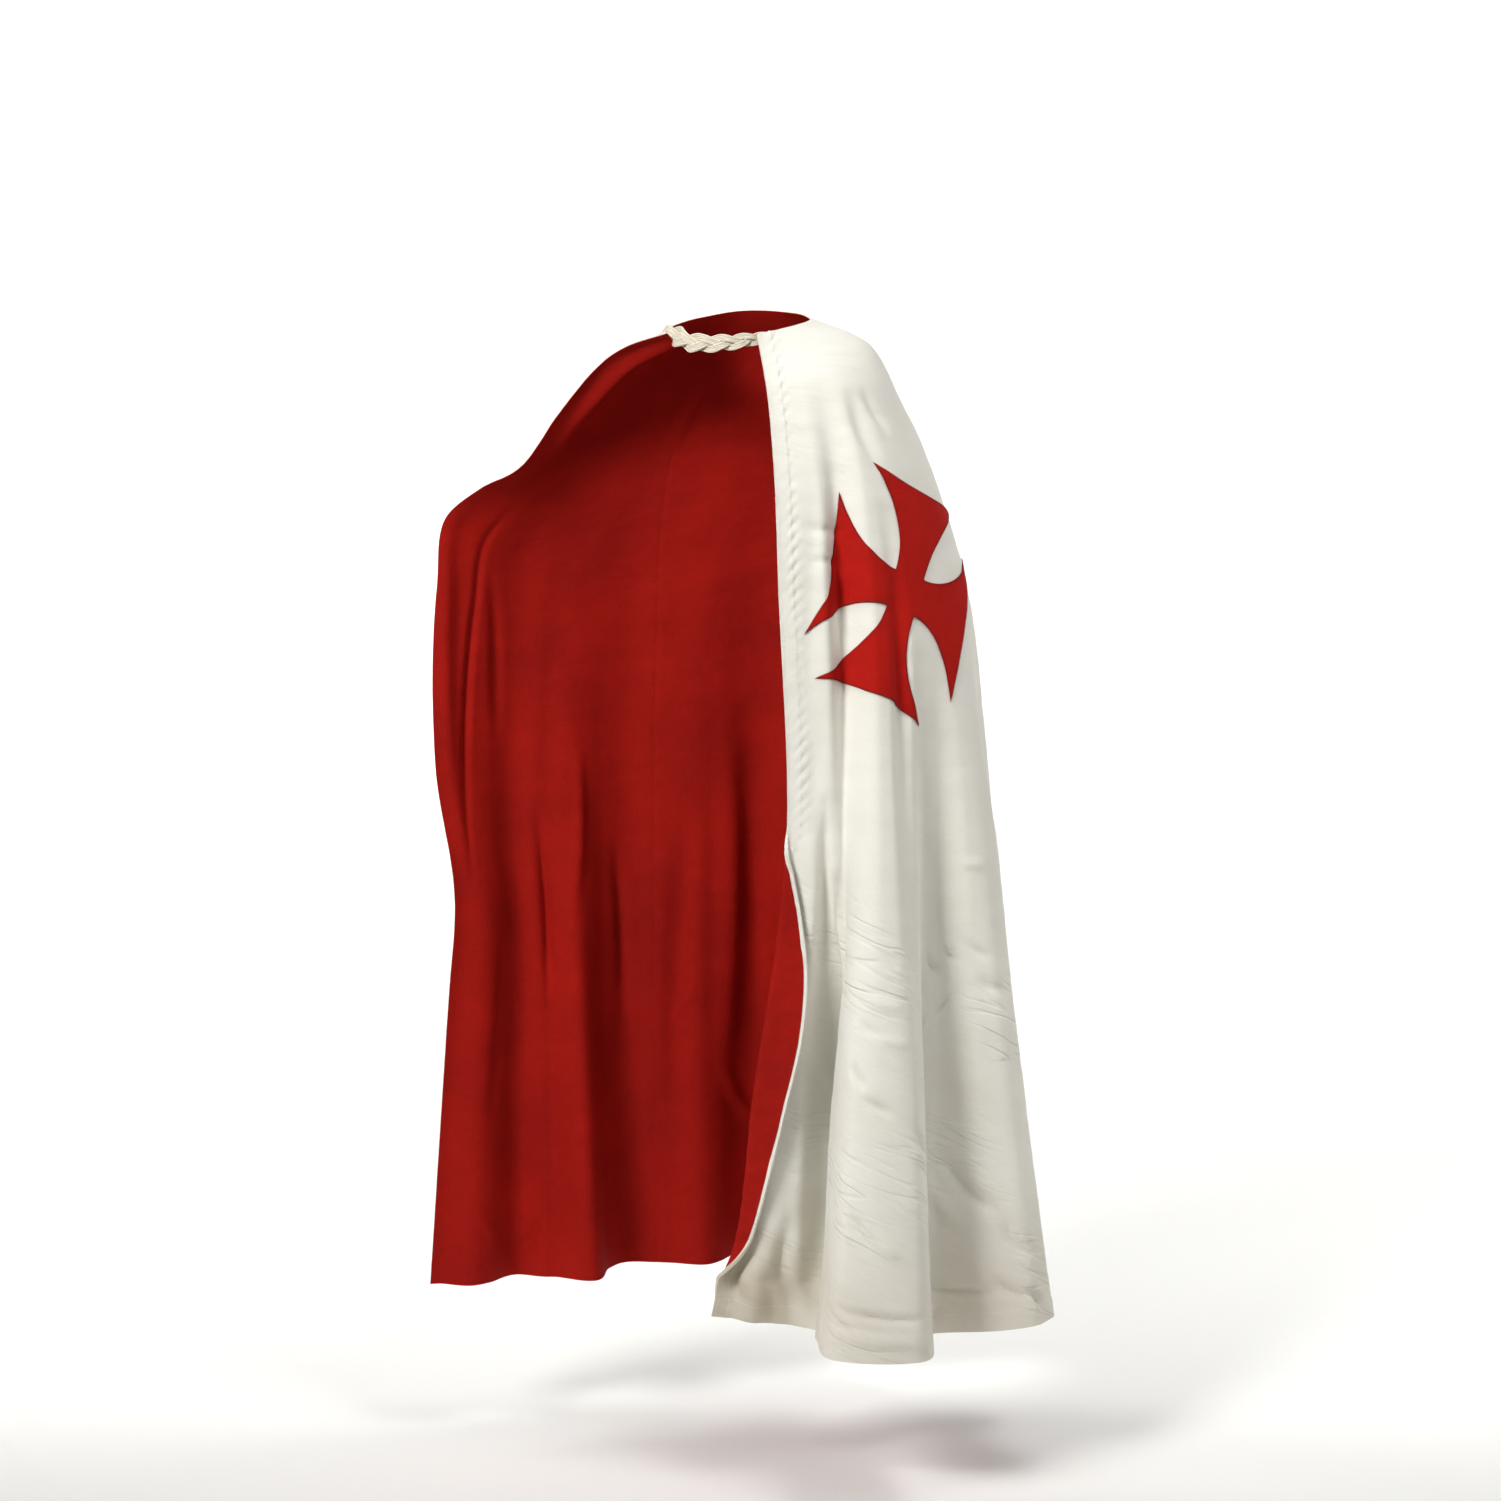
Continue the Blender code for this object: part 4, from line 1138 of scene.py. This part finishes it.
def add_stitches(name, slot, paths, closed, material, **values):
    """One piece of stitches along paths, each given as points and outward directions."""
    edges = []
    start = 0
    for path, _ in paths:
        stop = start + len(path)
        edges += zip(range(start, stop - 1), range(start + 1, stop))
        if closed:
            edges.append((stop - 1, start))
        start = stop
    points, outward = (np.vstack(part) for part in zip(*paths))
    mesh = bpy.data.meshes.new(name)
    mesh.from_pydata(points.tolist(), edges, [])
    layer = mesh.attributes.new("outward", "FLOAT_VECTOR", "POINT")
    layer.data.foreach_set("vector", outward.astype(np.float32).ravel())
    piece = bpy.data.objects.new(name, mesh)
    bpy.context.scene.collection.objects.link(piece)
    tree = stitch_tree(material)
    modifier = piece.modifiers.new("Stitches", "NODES")
    modifier.node_group = tree
    for socket in tree.interface.items_tree:
        if socket.in_out == "INPUT" and socket.name in values:
            modifier[socket.identifier] = values[socket.name]
    bpy.context.view_layer.update()
    seen = piece.evaluated_get(bpy.context.evaluated_depsgraph_get())
    sewn = bpy.data.meshes.new_from_object(seen)
    if not sewn.polygons:
        raise RuntimeError(name + " has no stitches")
    piece.modifiers.remove(modifier)
    piece.data = sewn
    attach(piece, BODY)


def line_on_shell(distances, target, axis):
    """Points and directions over the shell where a distance has its target value.

    Along axis 1 it looks through each row of the cloth, and along axis 0 through each column.
    """
    sheet = cloth()
    _, outer = shell_faces()
    over = sheet.points + sheet.outward * outer[:, :, None]
    direction = sheet.outward
    if axis == 0:
        over = over.transpose(1, 0, 2)
        direction = direction.transpose(1, 0, 2)
        distances = distances.T
    points, outward = [], []
    for row, spots, ways in zip(distances, over, direction):
        place = np.interp(-target, -row, np.arange(len(row)))
        low = min(int(place), len(row) - 2)
        share = place - low
        points.append(spots[low] * (1.0 - share) + spots[low + 1] * share)
        outward.append(ways[low] * (1.0 - share) + ways[low + 1] * share)
    return np.array(points), unit(np.array(outward))


class CLOAK_OT_sewing(bpy.types.Operator):
    """Make the stitches along the edge band, the hem and the cross"""
    bl_idname = "cloak.sewing"
    bl_label = "Sewing"

    def execute(self, context):
        sizes = settings().sizes
        colors = settings().colors
        sheet = cloth()
        white = spun_thread("White cotton thread", colors.shell_shade, 0.85)
        red = spun_thread("Dark red cotton thread", colors.cross_thread, 0.80)
        band = line_on_shell(sheet.from_edge, sizes.band - STITCH_INSET, 1)
        edge = line_on_shell(sheet.from_edge, EDGE_STITCH_INSET, 1)
        hem = line_on_shell(sheet.above_hem, sizes.hem - STITCH_INSET, 0)
        add_stitches("edge_and_hem_stitches", "shell_cloth", [band, edge, hem], False, white,
                     Pitch=sizes.stitch_pitch, Length=sizes.stitch, Width=sizes.thread, Turn=0.0)
        border = cross_border(sizes.satin / 2)
        lift = np.full(len(border), sizes.cross_lift + sizes.cross)
        add_stitches("cross_stitches", "cross_cloth", [on_shell(border, lift)], True, red,
                     Pitch=sizes.satin_pitch, Length=sizes.satin, Width=sizes.thread,
                     Turn=math.pi / 2)
        return {"FINISHED"}


def plait_frames():
    """The plait's middle line, its upward and forward directions and its taper."""
    shares = np.linspace(0.0, 1.0, PLAIT_RINGS)
    middle = smooth(np.linspace(0.0, 1.0, len(PLAIT_ROUTE)), PLAIT_ROUTE, shares)
    onward = unit(np.gradient(middle, axis=0))
    forward = unit(np.cross(onward, (0.0, 0.0, -1.0)))
    upward = np.cross(forward, onward)
    scale = 1.0 + (PLAIT_LEFT_SCALE - 1.0) * shares
    scale = scale * (PINCH + (1.0 - PINCH) * step_up(shares, 0.0, PINCH_LENGTH))
    return shares, middle, upward, forward, scale


def plied_cord(cord, path, square, forward, scale, shares):
    """Rings of points of one cord in a strand, and how high each point lies on its ply."""
    radius = STRAND_HALF_WIDTH / STRAND_CORDS
    around = 2.0 * math.pi * np.arange(CORD_SIDES) / CORD_SIDES
    side = (2.0 * cord + 1.0) / STRAND_CORDS - 1.0
    crown = (STRAND_HALF_DEPTH - radius) * math.sqrt(1.0 - side ** 2)
    sideways = scale * side * (STRAND_HALF_WIDTH - radius * CORD_INSET)
    line = path + sideways[:, None] * square + (scale * crown)[:, None] * forward
    twist = 2.0 * math.pi * PLY_TWISTS * shares * (-1.0) ** cord
    ply = np.cos(CORD_PLIES * (around[None] + twist[:, None] / CORD_PLIES))
    size = (radius * CORD_SWELL * scale)[:, None] * (1.0 + PLY_RELIEF * ply)
    rings = line[:, None] + (size * np.cos(around))[:, :, None] * square[:, None]
    rings = rings + (size * np.sin(around))[:, :, None] * forward[:, None]
    return rings.reshape(-1, 3), (0.5 + 0.5 * ply).ravel()


def tube_faces(first):
    """Faces of a closed tube of rings whose points count from the first."""
    grid = first + np.arange(PLAIT_RINGS * CORD_SIDES).reshape(PLAIT_RINGS, CORD_SIDES)
    beside = np.roll(grid, -1, axis=1)
    quads = np.stack([grid[:-1], beside[:-1], beside[1:], grid[1:]], axis=2)
    return [*quads.reshape(-1, 4).tolist(), grid[0, ::-1].tolist(), grid[-1].tolist()]


class CLOAK_OT_neck_cord(bpy.types.Operator):
    """Make the plaited neck cord, each strand a bundle of plied cords"""
    bl_idname = "cloak.neck_cord"
    bl_label = "Neck Cord"

    def execute(self, context):
        shares, middle, upward, forward, scale = plait_frames()
        material = cord_cotton()
        for strand in range(PLAIT_STRANDS):
            phase = 2.0 * math.pi * (PLAIT_TURNS * shares + strand / PLAIT_STRANDS)
            rise = scale * PLAIT_SWAY * np.sin(phase)
            ahead = scale * PLAIT_DEPTH * np.sin(2.0 * phase)
            path = middle + rise[:, None] * upward + ahead[:, None] * forward
            square = unit(np.cross(forward, np.gradient(path, axis=0)))
            points, plies, faces = [], [], []
            for cord in range(STRAND_CORDS):
                rings, ply = plied_cord(cord, path, square, forward, scale, shares)
                faces += tube_faces(len(points))
                points += list(rings)
                plies += list(ply)
            name = "plait_strand_{}".format(strand + 1)
            mesh = build_mesh(name, points, faces, np.zeros((len(points), 2)), material)
            # The ply height also sets the painted shade in the cord's grooves
            layer = mesh.attributes.new("ply", "FLOAT", "POINT")
            layer.data.foreach_set("value", np.array(plies, dtype=np.float32))
            node = "neck_cord_strand_{}".format(strand + 1)
            piece = add_piece(name, mesh, "cord", node)
        return {"FINISHED"}


def stage_material():
    """Matt white paint on floor and backdrop: even, with the faintest roller mottling."""
    dots_to_a_metre, dot_depth = 60.0, 0.001
    material, tree, shader = new_material("Matt white stage paint", Roughness=0.95, IOR=1.45,
                                          Base_Color=settings().colors.stage)
    place = add_node(tree, "ShaderNodeTexCoord").outputs["Object"]
    mottling = add_node(tree, "ShaderNodeTexNoise", {
        "Vector": place, "Scale": dots_to_a_metre, "Detail": 2.0})
    bump = add_node(tree, "ShaderNodeBump", {
        "Height": mottling.outputs["Fac"], "Strength": 0.05, "Distance": dot_depth})
    tree.links.new(bump.outputs["Normal"], shader.inputs["Normal"])
    return material


def set_up(thing, place, aim):
    """Put a camera or light at a place so that it faces a point, and link it."""
    thing.location = place
    thing.rotation_euler = (Vector(aim) - Vector(place)).to_track_quat("-Z", "Y").to_euler()
    bpy.context.scene.collection.objects.link(thing)


def add_light(name, place, aim, size, watts, color=WHITE_LIGHT, spread=180.0):
    """A square soft light that faces a point, with a grid that narrows its spread in degrees."""
    lamp = bpy.data.lights.new(name, "AREA")
    lamp.size = size
    lamp.energy = watts
    lamp.color = color
    lamp.spread = math.radians(spread)
    set_up(bpy.data.objects.new(name, lamp), place, aim)


def add_floor(level):
    """A floor that curves up into a backdrop."""
    half_width, front, back, radius, height = 9.0, -9.0, 8.0, 2.4, 7.0
    bend_points = 24
    turns = np.linspace(0.0, math.pi / 2, bend_points)
    profile = [(front, level)]
    profile += [(back - radius + radius * math.sin(turn),
                 level + radius - radius * math.cos(turn)) for turn in turns]
    profile.append((back, level + height))
    points = [(side * half_width, depth, rise) for depth, rise in profile for side in (-1, 1)]
    faces = [(2 * i, 2 * i + 1, 2 * i + 3, 2 * i + 2) for i in range(len(profile) - 1)]
    mesh = bpy.data.meshes.new("floor")
    mesh.from_pydata(points, [], faces)
    mesh.materials.append(stage_material())
    mesh.shade_smooth()
    floor = bpy.data.objects.new("floor", mesh)
    bpy.context.scene.collection.objects.link(floor)


class CLOAK_OT_stage(bpy.types.Operator):
    """Make the camera, floor, backdrop and lights"""
    bl_idname = "cloak.stage"
    bl_label = "Stage"

    def execute(self, context):
        stage = settings().stage
        scene = context.scene
        lens = bpy.data.cameras.new("camera")
        lens.lens = stage.lens
        lens.sensor_width = 36.0
        scene.camera = bpy.data.objects.new("camera", lens)
        set_up(scene.camera, (stage.camera_side, -stage.camera_back, stage.camera_rise),
               (stage.camera_side, 0.0, -stage.aim_drop))
        add_floor(-stage.floor_drop)
        add_light("key", place=(-2.4, -3.1, 2.1), aim=(0.0, 0.0, -0.28), size=1.4,
                  watts=stage.key_power, color=KEY_LIGHT, spread=62.0)
        add_light("fill", place=(3.2, -2.8, 0.8), aim=(0.0, 0.0, -0.7), size=2.6,
                  watts=stage.fill_power, color=FILL_LIGHT)
        add_light("top", place=(0.9, -0.9, 2.3), aim=(0.2, 0.0, -0.2), size=1.0,
                  watts=stage.top_power, spread=80.0)
        for side, strength in ((-1.0, 5.0), (1.0, 1.4)):
            add_light("floor light", place=(2.4 * side, 0.8, 0.8), aim=(1.9 * side, 3.4, -1.6),
                      size=1.6, watts=stage.back_power)
            add_light("backdrop light", place=(3.8 * side, 3.6, 1.0), aim=(2.9 * side, 8.0, -0.5),
                      size=2.4, watts=strength * stage.back_power)
        world = bpy.data.worlds.new("even light")
        world.use_nodes = True
        background = world.node_tree.nodes["Background"]
        background.inputs["Color"].default_value = SKY_LIGHT
        background.inputs["Strength"].default_value = stage.sky
        scene.world = world
        scene.view_settings.view_transform = "Standard"
        return {"FINISHED"}


class CLOAK_PT_panel(bpy.types.Panel):
    """The cloak's settings and the pieces that can be made"""
    bl_idname = "CLOAK_PT_panel"
    bl_label = "Lined Cloak"
    bl_space_type = "VIEW_3D"
    bl_region_type = "UI"
    bl_category = "Cloak"

    def draw(self, context):
        cloak = context.scene.cloak
        for group in (cloak.sizes, cloak.colors, cloak.stage):
            box = self.layout.box()
            for name in group.bl_rna.properties.keys():
                if name not in {"rna_type", "name"}:
                    box.prop(group, name)
        for operator in OPERATORS:
            self.layout.operator(operator.bl_idname)


OPERATORS = (CLOAK_OT_stage, CLOAK_OT_neck_cord, CLOAK_OT_shell, CLOAK_OT_lining,
             CLOAK_OT_cross, CLOAK_OT_sewing)
CLASSES = (CloakSizes, CloakColors, CloakStage, CloakSettings, *OPERATORS, CLOAK_PT_panel)


def register():
    """Add the classes and the scene's settings."""
    for cls in CLASSES:
        bpy.utils.register_class(cls)
    bpy.types.Scene.cloak = PointerProperty(type=CloakSettings)


def unregister():
    """Take the settings and the classes away again."""
    del bpy.types.Scene.cloak
    for cls in reversed(CLASSES):
        bpy.utils.unregister_class(cls)


def main():
    """Build every piece in order."""
    register()
    bpy.ops.cloak.stage()
    bpy.ops.cloak.neck_cord()
    bpy.ops.cloak.shell()
    bpy.ops.cloak.lining()
    bpy.ops.cloak.cross()
    bpy.ops.cloak.sewing()


if __name__ == "__main__":
    main()
